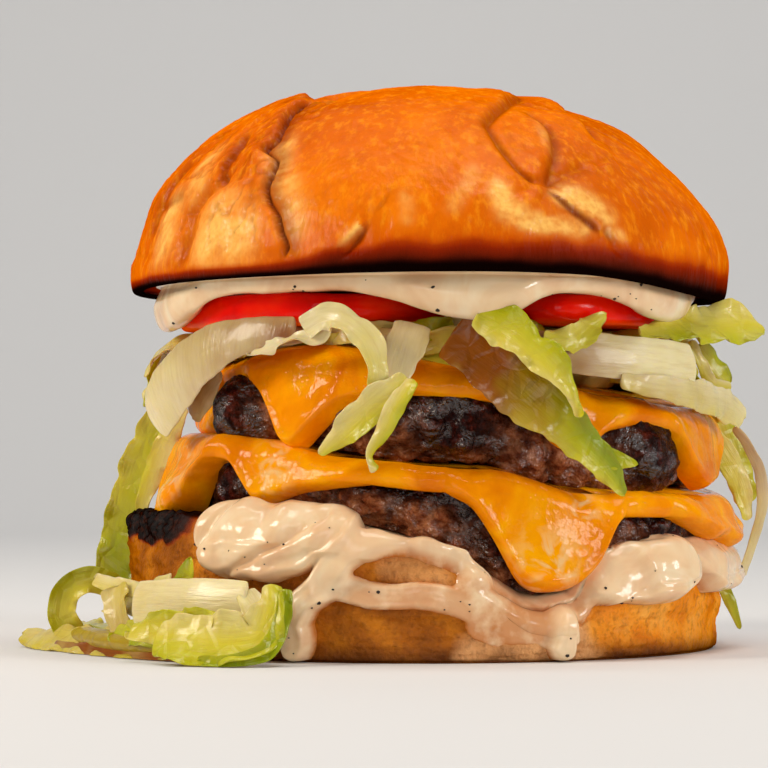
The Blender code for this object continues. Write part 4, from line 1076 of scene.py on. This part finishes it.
# Glazed crust: egg wash baked to a glossy orange-brown film.  Small paler freckles and thin streaks
# follow the stretched dough; creases and wrinkles keep a darker, redder line of painted shade.
glazed, tree, shader = new_surface("egg_glazed_brioche_crust")
place = add(tree, "ShaderNodeTexCoord").outputs["Object"]
broad = add(tree, "ShaderNodeTexNoise", {"Vector": place, "Scale": 1 / 0.022, "Detail": 4.0,
                                        "Distortion": 0.5}).outputs["Fac"]
crust = add(tree, "ShaderNodeValToRGB", {"Fac": broad},
            stops=[(0.25, "#C05000"), (0.5, "#DE6600"), (0.75, "#EE7C00")]).outputs["Color"]
stretch = add(tree, "ShaderNodeMapping", {"Vector": place, "Scale": (1.0, 1.0, 0.35)}).outputs["Vector"]
fleck = add(tree, "ShaderNodeTexNoise", {"Vector": stretch, "Scale": 1 / 0.0016, "Detail": 6.0,
                                        "Roughness": 0.6}).outputs["Fac"]
fleck_share = add(tree, "ShaderNodeMapRange", {"Value": fleck, "From Min": 0.5, "From Max": 0.7,
                                              "To Max": 0.6}).outputs["Result"]
crust = add(tree, "ShaderNodeMix", {0: fleck_share, 6: crust, 7: linear("#FA9A14")},
            data_type="RGBA").outputs[2]
ruddy = add(tree, "ShaderNodeTexNoise", {"Vector": place, "Scale": 1 / 0.005, "Detail": 5.0,
                                         "Roughness": 0.65})
ruddy = add(tree, "ShaderNodeMapRange", {"Value": ruddy.outputs["Fac"], "From Min": 0.5, "From Max": 0.75,
                                         "To Max": 0.45})
crust = add(tree, "ShaderNodeMix", {0: ruddy.outputs["Result"], 6: crust, 7: linear("#B84400")},
            data_type="RGBA")
crust = crust.outputs[2]
# Paler skin and painted highlight: the pads are lightened in the colour.
pale_and_sheen_share = add(tree, "ShaderNodeAttribute", attribute_name="pale_and_sheen").outputs["Fac"]
pits = add(tree, "ShaderNodeTexNoise", {"Vector": place, "Scale": 1 / 0.0009, "Detail": 3.0}).outputs["Fac"]
pits = add(tree, "ShaderNodeMapRange", {"Value": pits, "From Min": 0.34, "From Max": 0.58, "To Min": 0.7})
pale_and_sheen_share = add(tree, "ShaderNodeMath", {0: pale_and_sheen_share, 1: pits.outputs["Result"]},
            operation="MULTIPLY").outputs["Value"]
crust = add(tree, "ShaderNodeMix", {0: pale_and_sheen_share, 6: crust, 7: linear("#FFC060")}, data_type="RGBA").outputs[2]
# Painted shade: a darker, redder colour in the creases and wrinkles, where shade falls.
painted_crease_shade = add(tree, "ShaderNodeAttribute", attribute_name="painted_crease_shade").outputs["Fac"]
painted_crease_shade = add(tree, "ShaderNodeMath", {0: painted_crease_shade, 1: 0.85}, operation="MULTIPLY").outputs["Value"]
crust = add(tree, "ShaderNodeMix", {0: painted_crease_shade, 6: crust, 7: linear("#6E1E00")}, data_type="RGBA").outputs[2]
# Browner towards the rim: toasting and painted shade together.
toast_and_shade_share = add(tree, "ShaderNodeAttribute", attribute_name="toast_and_shade").outputs["Fac"]
brown = add(tree, "ShaderNodeValToRGB", {"Fac": toast_and_shade_share},
            stops=[(0.0, "#D86000"), (0.35, "#C04400"), (0.65, "#8A2000"),
                   (1.0, "#3A0C01")]).outputs["Color"]
toast_and_shade_share = add(tree, "ShaderNodeMapRange", {"Value": toast_and_shade_share, "From Min": 0.05,
                                           "From Max": 0.5}).outputs["Result"]
crust = add(tree, "ShaderNodeMix", {0: toast_and_shade_share, 6: crust, 7: brown}, data_type="RGBA").outputs[2]
black = add(tree, "ShaderNodeAttribute", attribute_name="singe").outputs["Fac"]
crust = add(tree, "ShaderNodeMix", {0: black, 6: crust, 7: linear("#0C0302")}, data_type="RGBA").outputs[2]
film = add(tree, "ShaderNodeTexNoise", {"Vector": stretch, "Scale": 1 / 0.0028,
                                        "Detail": 5.0}).outputs["Fac"]
bump = add(tree, "ShaderNodeBump", {"Height": film, "Distance": 0.0012, "Strength": 0.7})
patchy = add(tree, "ShaderNodeMapRange", {"Value": broad, "From Min": 0.3, "From Max": 0.7, "To Min": 0.34,
                                         "To Max": 0.5}).outputs["Result"]
tree.links.new(crust, shader.inputs["Base Color"])
tree.links.new(patchy, shader.inputs["Roughness"])
tree.links.new(bump.outputs["Normal"], shader.inputs["Normal"])
greasy = add(tree, "ShaderNodeMapRange", {"Value": pale_and_sheen_share, "To Min": 0.16, "To Max": 0.5}).outputs["Result"]
bare = add(tree, "ShaderNodeMapRange", {"Value": toast_and_shade_share, "To Min": greasy, "To Max": 0.0}).outputs["Result"]
tree.links.new(bump.outputs["Normal"], shader.inputs["Coat Normal"])
front_gloss(tree, bare, shader.inputs["Coat Weight"])
shader.inputs["Coat Roughness"].default_value = 0.07
shader.inputs["Coat IOR"].default_value = 1.35
shader.inputs["IOR"].default_value = 1.3
level = add(tree, "ShaderNodeMapRange", {"Value": black, "To Min": 0.07, "To Max": 0.0}).outputs["Result"]
front_gloss(tree, level, shader.inputs["Specular IOR Level"])
shader.inputs["Subsurface Weight"].default_value = 0.05
shader.inputs["Subsurface Radius"].default_value = (0.004, 0.0014, 0.0004)
dress(lay("top_bun_glazed_brioche", bun_points, glazed,
          {"toast_and_shade": toast_and_shade, "singe": singe, "pale_and_sheen": pale_and_sheen, "painted_crease_shade": crease_shade_mask}), "bun_glazed", "top_bun")

# ------------------------------------------------------------------ hanging lettuce
# Single shreds of iceberg that hang out from under the tomato: pale ribs as broad as a finger, thin
# frilled leaf edges, green tips, and a long strand that bows out at the right.

# Name, whether a solid of that name is stood for, points along its middle, half widths, facing, and
# options of strip().
HANGING = [
    ("lettuce_left_rib", True,
     [(-24, -44, 59.5), (-32.4, -41, 58.2), (-40.4, -36, 55.5), (-47.6, -28.5, 49.4), (-51.6, -22.8, 42.6)],
     [1.8, 3.3, 5.2, 6.0, 4.6], (-0.5, -0.83, 0.25),
     dict(green=(0.02, 0.12), cup=-0.12, ruffle=0.2, stain=(0.75, 0.0), grain=75, ragged=0.05)),
    ("lettuce_left_chunk", False, [(-38.5, -31, 52), (-42, -27, 48), (-44, -24, 43.5)], [2.2, 3.2, 2.4],
     (-0.6, -0.8, 0.1), dict(green=(0.2, 0.2), ruffle=0.4, stain=(0.5, 0.7))),
    ("lettuce_left_fall", True,
     [(-49.5, -2, 47), (-53.5, -1, 39.5), (-57.6, 0, 29), (-60.2, 1, 18.5), (-60.4, 1, 11.5)],
     [2.4, 3.8, 3.9, 3.7, 3.8], (-0.25, -0.97, 0.1), dict(green=(0.75, 0.5), ruffle=0.5, cup=0.2, tip=0.3)),
    ("lettuce_left_fall_inner", False, [(-47, -8, 46), (-50.5, -6, 39), (-53.5, -4, 32), (-56, -3, 24)],
     [1.6, 2.4, 2.0, 0.8], (-0.3, -0.95, 0.1), dict(green=(0.3, 0.6), ruffle=0.4)),
    ("lettuce_front_curl", True,
     [(-22.5, -49, 58.8), (-18.6, -51.5, 60.6), (-14.5, -54, 59.6), (-11, -55.6, 56.4), (-9.4, -56.4, 51.5),
      (-9.2, -56.2, 46.5)], [2.0, 2.5, 2.4, 2.4, 2.2, 1.6], (0.1, -0.95, 0.3),
     dict(green=(0.0, 0.08), ruffle=0.9, cup=0.2, twist=0.5, tip=0.3)),
    ("lettuce_front_frill", False,
     [(-32.4, -41.5, 54.6), (-28.5, -45.5, 55.9), (-23.5, -48.5, 57.3), (-19.2, -50, 57.4),
      (-18.2, -50.5, 60.0)], [0.9, 1.0, 1.0, 1.2, 0.9], (-0.2, -0.8, 0.5),
     dict(green=(0.0, 0.1), ruffle=0.8)),
    ("lettuce_front_amber", False, [(-3.2, -49.5, 59.8), (-4.4, -52.6, 55.6), (-6.2, -54.6, 49.4)],
     [3.7, 3.5, 2.4], (0, -0.95, 0.25), dict(green=(0.1, 0.1), stain=(0.45, 0.1), ruffle=0.1)),
    ("lettuce_front_tip", True,
     [(-3.6, -57, 49.4), (-8.6, -57, 46.0), (-14, -55, 41.4), (-19.6, -52.5, 36.6)], [1.6, 3.1, 2.7, 0.6],
     (0.1, -0.97, 0.2), dict(green=(0.75, 0.2), ruffle=0.7, cup=0.2, ragged=0.22)),
    ("lettuce_front_tail", True,
     [(-3.0, -58, 49.6), (-6.0, -58.6, 45.0), (-8.4, -58, 40.2), (-10.8, -57.4, 36.2), (-9.4, -57.4, 33.7)],
     [1.5, 1.7, 1.4, 0.9, 1.0], (0.1, -1, 0.1), dict(green=(0.8, 0.15), ruffle=0.5, twist=1.2, ragged=0.22)),
    ("lettuce_front_long", True,
     [(3.5, -50.2, 57.4), (13, -53, 50.6), (19.2, -54, 45.2), (24.4, -53.5, 40.8), (29.2, -52, 36),
      (32.4, -50.4, 32.2), (34.2, -49.2, 29.4)], [4.4, 5.3, 4.8, 3.7, 3.0, 2.2, 0.6], (0.1, -0.97, 0.2),
     dict(green=(0.95, 0.3), tip=0.3, ruffle=0.7, cup=0.15, stain=(1.5, -0.6), ragged=0.2)),
    ("lettuce_front_long_fork", False, [(28.0, -51.4, 37.0), (32.6, -50.6, 35.6), (36.6, -49.6, 34.8)],
     [1.8, 1.9, 0.3], (0.2, -0.97, 0.1), dict(green=(0.95, 0.8), ruffle=0.1)),
    ("lettuce_front_short", True,
     [(8.5, -53, 61.2), (14.5, -54.6, 57.6), (20.6, -56, 52.6), (24.6, -55.6, 47.2), (25.8, -55.2, 43.0)],
     [3.5, 3.9, 3.1, 1.3, 0.5], (0.15, -0.95, 0.3),
     dict(green=(0.85, 0.35), ruffle=0.9, cup=0.2, ragged=0.2)),
    ("lettuce_front_frill_right", False,
     [(31.5, -40.5, 61.6), (28.5, -43, 59.4), (25.6, -46, 57.2), (20, -49, 56.6)], [0.8, 2.2, 2.6, 1.6],
     (0.4, -0.85, 0.3), dict(green=(0.7, 0.45), ruffle=1.0)),
    ("lettuce_right_rib", True,
     [(17, -47.5, 55.2), (26, -45.6, 54.8), (35, -41.5, 54.0), (43, -35.5, 53.4), (48.6, -28.6, 53.0)],
     [3.4, 3.9, 4.1, 4.2, 4.1], (0.5, -0.85, 0.15),
     dict(green=(0.1, 0.1), ruffle=0.1, cup=-0.14, stain=(1.0, -0.6), ragged=0.03)),
    ("lettuce_right_leaf", True,
     [(38, -36.5, 58.0), (45.4, -26, 59.8), (52.6, -16, 60.8), (59, -11, 61.0), (63.4, -9, 60.2)],
     [1.6, 3.2, 4.6, 4.6, 1.0], (0.35, -0.75, 0.55), dict(green=(0.4, 0.8), ruffle=0.8, cup=0.15)),
    ("lettuce_right_curl", True, [(50.6, -11, 57.4), (52.6, -9.6, 54.6), (54.6, -9, 52.0), (56.6, -8, 50.0)],
     [1.6, 2.6, 2.4, 1.0], (0.4, -0.9, 0.1), dict(green=(0.95, 0.4), ruffle=0.9, twist=1.0)),
    ("lettuce_right_hook", False, [(49, -14, 58), (51.2, -13, 53.5), (53.0, -12, 50.4), (57.0, -8.4, 49.6)],
     [0.9, 1.2, 1.1, 0.7], (0.3, -0.95, 0), dict(green=(0.1, 0.6), ruffle=0.3)),
    ("lettuce_right_lower", True,
     [(34, -43.6, 49.6), (43.5, -36.5, 48.2), (51, -25, 47.0), (56, -15, 45.6), (59, -9.5, 43.2)],
     [1.4, 2.4, 3.2, 3.4, 2.0], (0.6, -0.78, 0.1),
     dict(green=(0.1, 0.3), ruffle=0.35, cup=-0.1, stain=(0.3, 0.0))),
    ("lettuce_right_fall", True, [(52.0, 3, 50), (56.0, 3.5, 42.6), (59.0, 4.5, 35.0), (61.6, 5.5, 27.0)],
     [2.2, 3.4, 3.6, 1.8], (0.35, -0.93, 0), dict(green=(0.8, 0.35), ruffle=0.5)),
    ("lettuce_right_under", False, [(53.0, -3, 42), (56.0, -3, 37), (59.0, -2, 31.5), (60.6, -2, 24)],
     [1.6, 2.4, 2.2, 1.0], (0.35, -0.93, 0), dict(green=(0.3, 0.6), ruffle=0.4)),
    ("lettuce_right_strand", True,
     [(58.0, -3, 41.8), (60.8, -2.4, 38.2), (63.2, -2, 32.6), (63.4, -2, 26), (61.6, -2, 19.4),
      (59.6, -2, 13.4)], [0.8, 1.0, 1.1, 1.1, 1.0, 1.2], (0.2, -1, 0),
     dict(green=(0.0, 0.15), stain=(0.45, 0.1), twist=1.2)),
    ("lettuce_right_tail", True, [(55.6, -3, 12.0), (57.4, -2.4, 8.4), (59.2, -2, 3.2)], [1.0, 1.3, 0.4],
     (0.2, -1, 0), dict(green=(0.9, 0.7), ruffle=0.1)),
    ("lettuce_rear_right", True, [(37, 29, 56), (41.5, 36, 51.5), (39.6, 42.6, 43), (37, 45.6, 36)],
     [2.6, 4.2, 3.6, 0.9], (0.65, 0.75, 0.1), dict(green=(0.3, 0.8), ruffle=0.6)),
    ("lettuce_rear", True, [(10, 47.5, 56), (4, 54.5, 52.4), (-6, 56.6, 45.8), (-12.6, 55.6, 41)],
     [2.6, 4.4, 3.6, 0.9], (0, 1, 0.15), dict(green=(0.15, 0.5), ruffle=0.4)),
    ("lettuce_rear_left", True,
     [(-36.5, 29.5, 56), (-40.6, 36, 50.6), (-39.2, 42, 41.4), (-37.6, 44.8, 32.4)], [2.6, 4.2, 3.8, 0.9],
     (-0.68, 0.73, 0.1), dict(green=(0.85, 0.3), ruffle=0.6)),
]
for k, (name, stands_for, path, half, facing, options) in enumerate(HANGING):
    shred = bundle(name + "_leaf", [strip(path, half, facing, seed=k + 1, detail=1.6, **options)], leaf)
    dress(shred, "lettuce", *([name] if stands_for else []))

# Smaller ends that poke out all round, between tomato and cheese.
ends = []
for k in range(26):
    b = (-150 + k * 12.4 + rng.uniform(-4, 4) + 180) % 360 - 180
    if -70 < b < 80:
        continue
    drop = rng.uniform(3, 13)
    lean = rng.uniform(-9, 9)
    path = turn_out(np.array([b, b + 0.4 * lean, b + 0.8 * lean, b + lean]),
                    np.array([44, 50, 53.5, 54.5 + 0.1 * drop]),
                    np.array([58, 57.5, 56 - 0.4 * drop, 55.5 - drop]))
    face = turn_out(np.array([b]), 1.0, rng.uniform(0, 0.6))[0]
    tone = rng.uniform(0.05, 0.8)
    ends.append(strip(path, [1.6, 2.2 + rng.random(), 2.0, 0.7], face, seed=60 + k,
                      ruffle=rng.uniform(0.2, 0.8), green=(tone, tone + 0.2), twist=rng.uniform(-0.8, 0.8)))
dress(bundle("lettuce_ends_all_round", ends, leaf), "lettuce")

# ------------------------------------------------------------------ lettuce heap
# Lettuce that fell to the foot of the bun at the front left: a flat strip with a browned edge, an arch,
# a thick white rib and a green leaf curled like a cup, over a small core.

heap_b = np.linspace(-88, -32, 40)
theta = np.arange(40) / 40 * math.tau
middle_r = 66.0 - 1.5 * np.cos(np.radians(heap_b * 2))
grow = np.sqrt(np.clip(1 - (np.linspace(-1, 1, 40)) ** 4, 0.01, 1))
heap_core = np.stack([turn_out(np.repeat(b, 40), m + 3.0 * g * np.cos(theta), 2.6 + 2.0 * g * np.sin(theta))
                      for b, m, g in zip(heap_b, middle_r, grow)])
plain = np.ones(heap_core.shape[:2])
dress(lay("lettuce_heap_core", heap_core, leaf,
          {"green": 0.7 * plain, "fibre": heap_core * 0.3, "stain": 0.5 * plain}), "lettuce")
LYING = [
    ([(-77.6, -6, 1.8), (-70, -17, 2.2), (-60, -31, 1.9), (-50, -43.5, 1.5), (-42, -51, 1.3)],
     [1.4, 4.0, 3.8, 3.4, 2.2], (-0.3, -0.6, 0.75),
     dict(green=(0.35, 0.5), stain=(0.1, 0.3), ruffle=0.5, thick=1.2)),
    ([(-70, -20, 0.9), (-60, -34, 0.9), (-50, -46, 0.8), (-42, -54, 0.8)], [1.0, 1.3, 1.5, 1.0],
     (-0.5, -0.8, 0.3), dict(green=(0.3, 0.3), stain=(1.0, 0.9), ruffle=0.3, thick=1.4)),
    ([(-67.2, -14, 2.5), (-69.4, -14, 6.6), (-68.2, -14, 10.8), (-64.5, -14, 13.0), (-60.4, -13, 12.0),
      (-58.4, -10, 9.4)], [2.9, 2.7, 2.6, 2.5, 2.4, 1.8], (0, -1, 0.1),
     dict(green=(0.85, 0.5), ruffle=0.4, cup=0.3, ragged=0.05)),
    ([(-53.0, -43.5, 10.0), (-46, -50, 10.6), (-39, -55, 10.9), (-32, -58.5, 10.8)], [4.0, 4.2, 4.1, 3.8],
     (-0.42, -0.88, 0.2), dict(green=(0.05, 0.12), ruffle=0.08, cup=-0.16, thick=1.2, ragged=0.03)),
    ([(-32.5, -57.5, 12.6), (-30.5, -59.5, 10.0), (-29.2, -61.5, 6.8)], [1.6, 2.6, 1.6], (0.2, -0.95, 0.2),
     dict(green=(0.1, 0.3), ruffle=0.3, cup=0.2)),
    ([(-27.6, -59, 14.0), (-27.6, -61.5, 9.6), (-29.8, -63.2, 5.2), (-35, -63.4, 4.4), (-41.5, -61.2, 4.4),
      (-48, -56.6, 4.6)], [1.4, 3.0, 4.6, 5.0, 4.8, 3.0], (-0.2, -0.85, 0.45),
     dict(green=(0.85, 0.25), ruffle=0.9, cup=0.22)),
    ([(-25.4, -60, 13.2), (-25.6, -62.4, 8), (-28.0, -65, 3.0), (-33.4, -66, 1.2), (-40, -64.5, 1.0)],
     [1.2, 1.6, 1.8, 1.2, 0.8], (0.2, -0.95, 0.2), dict(green=(1.0, 0.8), ruffle=0.2, cup=0.3)),
    ([(-37, -60.5, 8.2), (-42, -58.5, 6.8), (-47.5, -55, 6.0), (-53, -51, 5.2)], [1.6, 3.0, 3.0, 1.6],
     (-0.3, -0.85, 0.4), dict(green=(0.45, 0.75), ruffle=0.9, cup=0.2)),
    ([(-62, -25, 13.6), (-57, -30, 12.4), (-51, -36.5, 12.2), (-46.5, -42, 14.0)], [1.2, 1.7, 1.7, 1.6],
     (-0.5, -0.75, 0.4), dict(green=(0.15, 0.4), ruffle=0.5)),
    ([(-57.0, -31, 12.4), (-56.6, -34, 8.4), (-55.4, -37, 4.6)], [2.6, 3.0, 3.0], (-0.6, -0.8, 0.1),
     dict(green=(0.4, 0.25), ruffle=0.6, cup=0.3, stain=(0.1, 0.4))),
    ([(-57, -37, 4.2), (-51.5, -45, 4.6), (-47, -50.5, 4.8)], [1.8, 2.6, 2.0], (-0.5, -0.8, 0.4),
     dict(green=(0.75, 0.9), ruffle=0.8)),
    ([(-44.6, -47.4, 13.0), (-43.2, -48.4, 15.6), (-42.4, -48.2, 18.4)], [1.8, 1.5, 0.3], (-0.3, -0.95, 0.1),
     dict(green=(0.95, 0.7), ruffle=0.2, cup=0.3)),
    ([(-71, 4, 3.2), (-66, -6, 4.2), (-62, -16, 4.2), (-58, -24, 4.6)], [1.2, 2.8, 3.0, 1.6],
     (-0.3, 0.1, 0.95), dict(green=(0.6, 0.9), ruffle=0.8)),
    ([(-68, 8, 2.4), (-70, -2, 3.2), (-69, -12, 3.0)], [1.0, 2.4, 1.6], (-0.5, -0.2, 0.85),
     dict(green=(0.8, 0.4), ruffle=0.7)),
    ([(-50, -38, 9.2), (-55, -30, 9.2), (-59, -20, 8.6), (-60, -11, 7.6)], [1.4, 2.4, 2.4, 1.4],
     (-0.7, -0.3, 0.6), dict(green=(0.3, 0.6), ruffle=0.6)),
]
lying = [strip(path, half, facing, seed=90 + k, detail=1.5, **options)
         for k, (path, half, facing, options) in enumerate(LYING)]
for points, _ in lying:
    points[..., 2] = np.maximum(points[..., 2], 0.1)
    points[..., 1] = np.maximum(points[..., 1], -67.3)
dress(bundle("lettuce_heap_leaves", lying, leaf), "lettuce", "lettuce_heap")

# ------------------------------------------------------------------ pepper
# Coarse black pepper in both sauces: irregular specks of 0.3 to 1 mm, half sunk.

# Surface, what allows a speck there and how much of it is needed, count, first and last bearing.
PEPPERED = [
    (over[::-1], depth[::-1], 1.2, 42, -70, 110),
    (lip_points, lip_edge * (lip_line[..., 1] < 67.5), 0.9, 26, -110, 100),
]
# A speck is an icosahedron with shaken corners.
golden = (1 + 5 ** 0.5) / 2
corners = unit(np.array([
    (-1, golden, 0), (1, golden, 0), (-1, -golden, 0), (1, -golden, 0), (0, -1, golden), (0, 1, golden),
    (0, -1, -golden), (0, 1, -golden), (golden, 0, -1), (golden, 0, 1), (-golden, 0, -1), (-golden, 0, 1),
]))
sides = np.array([
    (0, 11, 5), (0, 5, 1), (0, 1, 7), (0, 7, 10), (0, 10, 11), (1, 5, 9), (5, 11, 4), (11, 10, 2), (10, 7,
                                                                                                    6),
    (7, 1, 8), (3, 9, 4), (3, 4, 2), (3, 2, 6), (3, 6, 8), (3, 8, 9), (4, 9, 5), (2, 4, 11), (6, 2, 10),
    (8, 6, 7), (9, 8, 1),
])
spots = []
for surface, allowed, least, count, first_b, last_b in PEPPERED:
    around = np.degrees(np.arctan2(surface[..., 0], -surface[..., 1]))
    open_to = np.argwhere((allowed > least * 0.99) & (around > first_b) & (around < last_b)
                          & (np.hypot(surface[..., 0], surface[..., 1]) > 50))
    picked = open_to[rng.choice(len(open_to), count, replace=False)]
    spots.append(surface[picked[:, 0], picked[:, 1]])
spots = np.concatenate(spots)
grain = 0.16 + 0.26 * rng.random((len(spots), 1, 1)) ** 2
shape = corners[None] * (0.7 + 0.6 * rng.random((len(spots), 12, 1))) * grain * (1, 1, 0.8)
specks = spots[:, None] + shape
faces = (sides[None] + 12 * np.arange(len(spots))[:, None, None]).reshape(-1, 3)
pepper, tree, shader = new_surface("ground_black_pepper")
shader.inputs["Base Color"].default_value = linear("#22120A")
shader.inputs["Roughness"].default_value = 0.7
speckle = make("pepper_specks", specks.reshape(-1, 3), faces.tolist(), pepper, smooth=False)
dress(speckle, "sauce")

# ------------------------------------------------------------------ studio
# A plain pale floor that sweeps up into the background, one wide soft light high at the left, one
# overhead and a fill from the right.

sweep_y = np.concatenate([[-1.6], np.linspace(0.9, 1.5, 20), [1.5]])
rise_up = np.concatenate([[0.0], 0.6 - np.sqrt(np.clip(0.36 - np.linspace(0, 0.6, 20) ** 2, 0, 1)), [2.6]])
sweep = np.stack([np.stack([np.full(22, x), sweep_y, rise_up], -1) for x in (-2.6, 2.6)])
quads = [(k, k + 22, k + 23, k + 1) for k in range(21)]
paper, tree, shader = new_surface("white_studio_paper")
shader.inputs["Base Color"].default_value = linear("#DAD9D8")
shader.inputs["Roughness"].default_value = 0.8
floor = make("studio_floor", sweep.reshape(-1, 3) / MM, quads, paper)


def softbox(name, place, aim, size, power, colour="#FFFFFF"):
    """Rectangular area light looking from one point at another."""
    lamp = bpy.data.lights.new(name, "AREA")
    lamp.shape = "RECTANGLE"
    lamp.size, lamp.size_y = size
    lamp.energy = power
    lamp.color = linear(colour)[:3]
    item = bpy.data.objects.new(name, lamp)
    item.location = place
    way = np.array(aim) - np.array(place)
    across = math.hypot(way[0], way[1])
    item.rotation_euler = (math.atan2(across, -way[2]), 0, math.atan2(-way[0], way[1]))
    bpy.context.scene.collection.objects.link(item)


softbox("softbox_left", (-0.76, -0.30, 0.50), (0, 0, 0.05), (0.3, 0.3), 5.2, "#FFF4E4")
softbox("softbox_top", (0.16, -0.14, 0.90), (0, 0, 0.05), (0.45, 0.35), 2.9, "#FFF8F0")
softbox("softbox_right", (0.85, -0.45, 0.32), (0, 0, 0.05), (0.3, 0.3), 3.9)
softbox("softbox_front", (-0.10, -1.25, 0.30), (0, 0, 0.05), (0.7, 0.4), 2.1)
softbox("softbox_background", (0, 0.40, 1.9), (0, 1.5, 0.5), (2.6, 0.5), 19.0)
world = bpy.data.worlds.new("studio_surround")
world.use_nodes = True
world.node_tree.nodes["Background"].inputs["Color"].default_value = linear("#FFFFFF")
world.node_tree.nodes["Background"].inputs["Strength"].default_value = 0.12
scene = bpy.context.scene
scene.world = world
scene.view_settings.view_transform = "Standard"

# The camera stands 0.6 m in front of the burger, and looks up a little and slightly to the left.
CAMERA_BACK, CAMERA_HEIGHT, AIM_HEIGHT, AIM_LEFT = 0.600, 0.0354, 0.0502, 0.00896
camera = bpy.data.cameras.new("camera")
camera.lens = 146.0
camera.sensor_width = 36.0
camera_item = bpy.data.objects.new("camera", camera)
camera_item.location = (0.0, -CAMERA_BACK, CAMERA_HEIGHT)
camera_item.rotation_euler = (math.pi / 2 + math.atan2(AIM_HEIGHT - CAMERA_HEIGHT, CAMERA_BACK), 0,
                              math.atan2(AIM_LEFT, CAMERA_BACK))
bpy.context.scene.collection.objects.link(camera_item)
scene.camera = camera_item
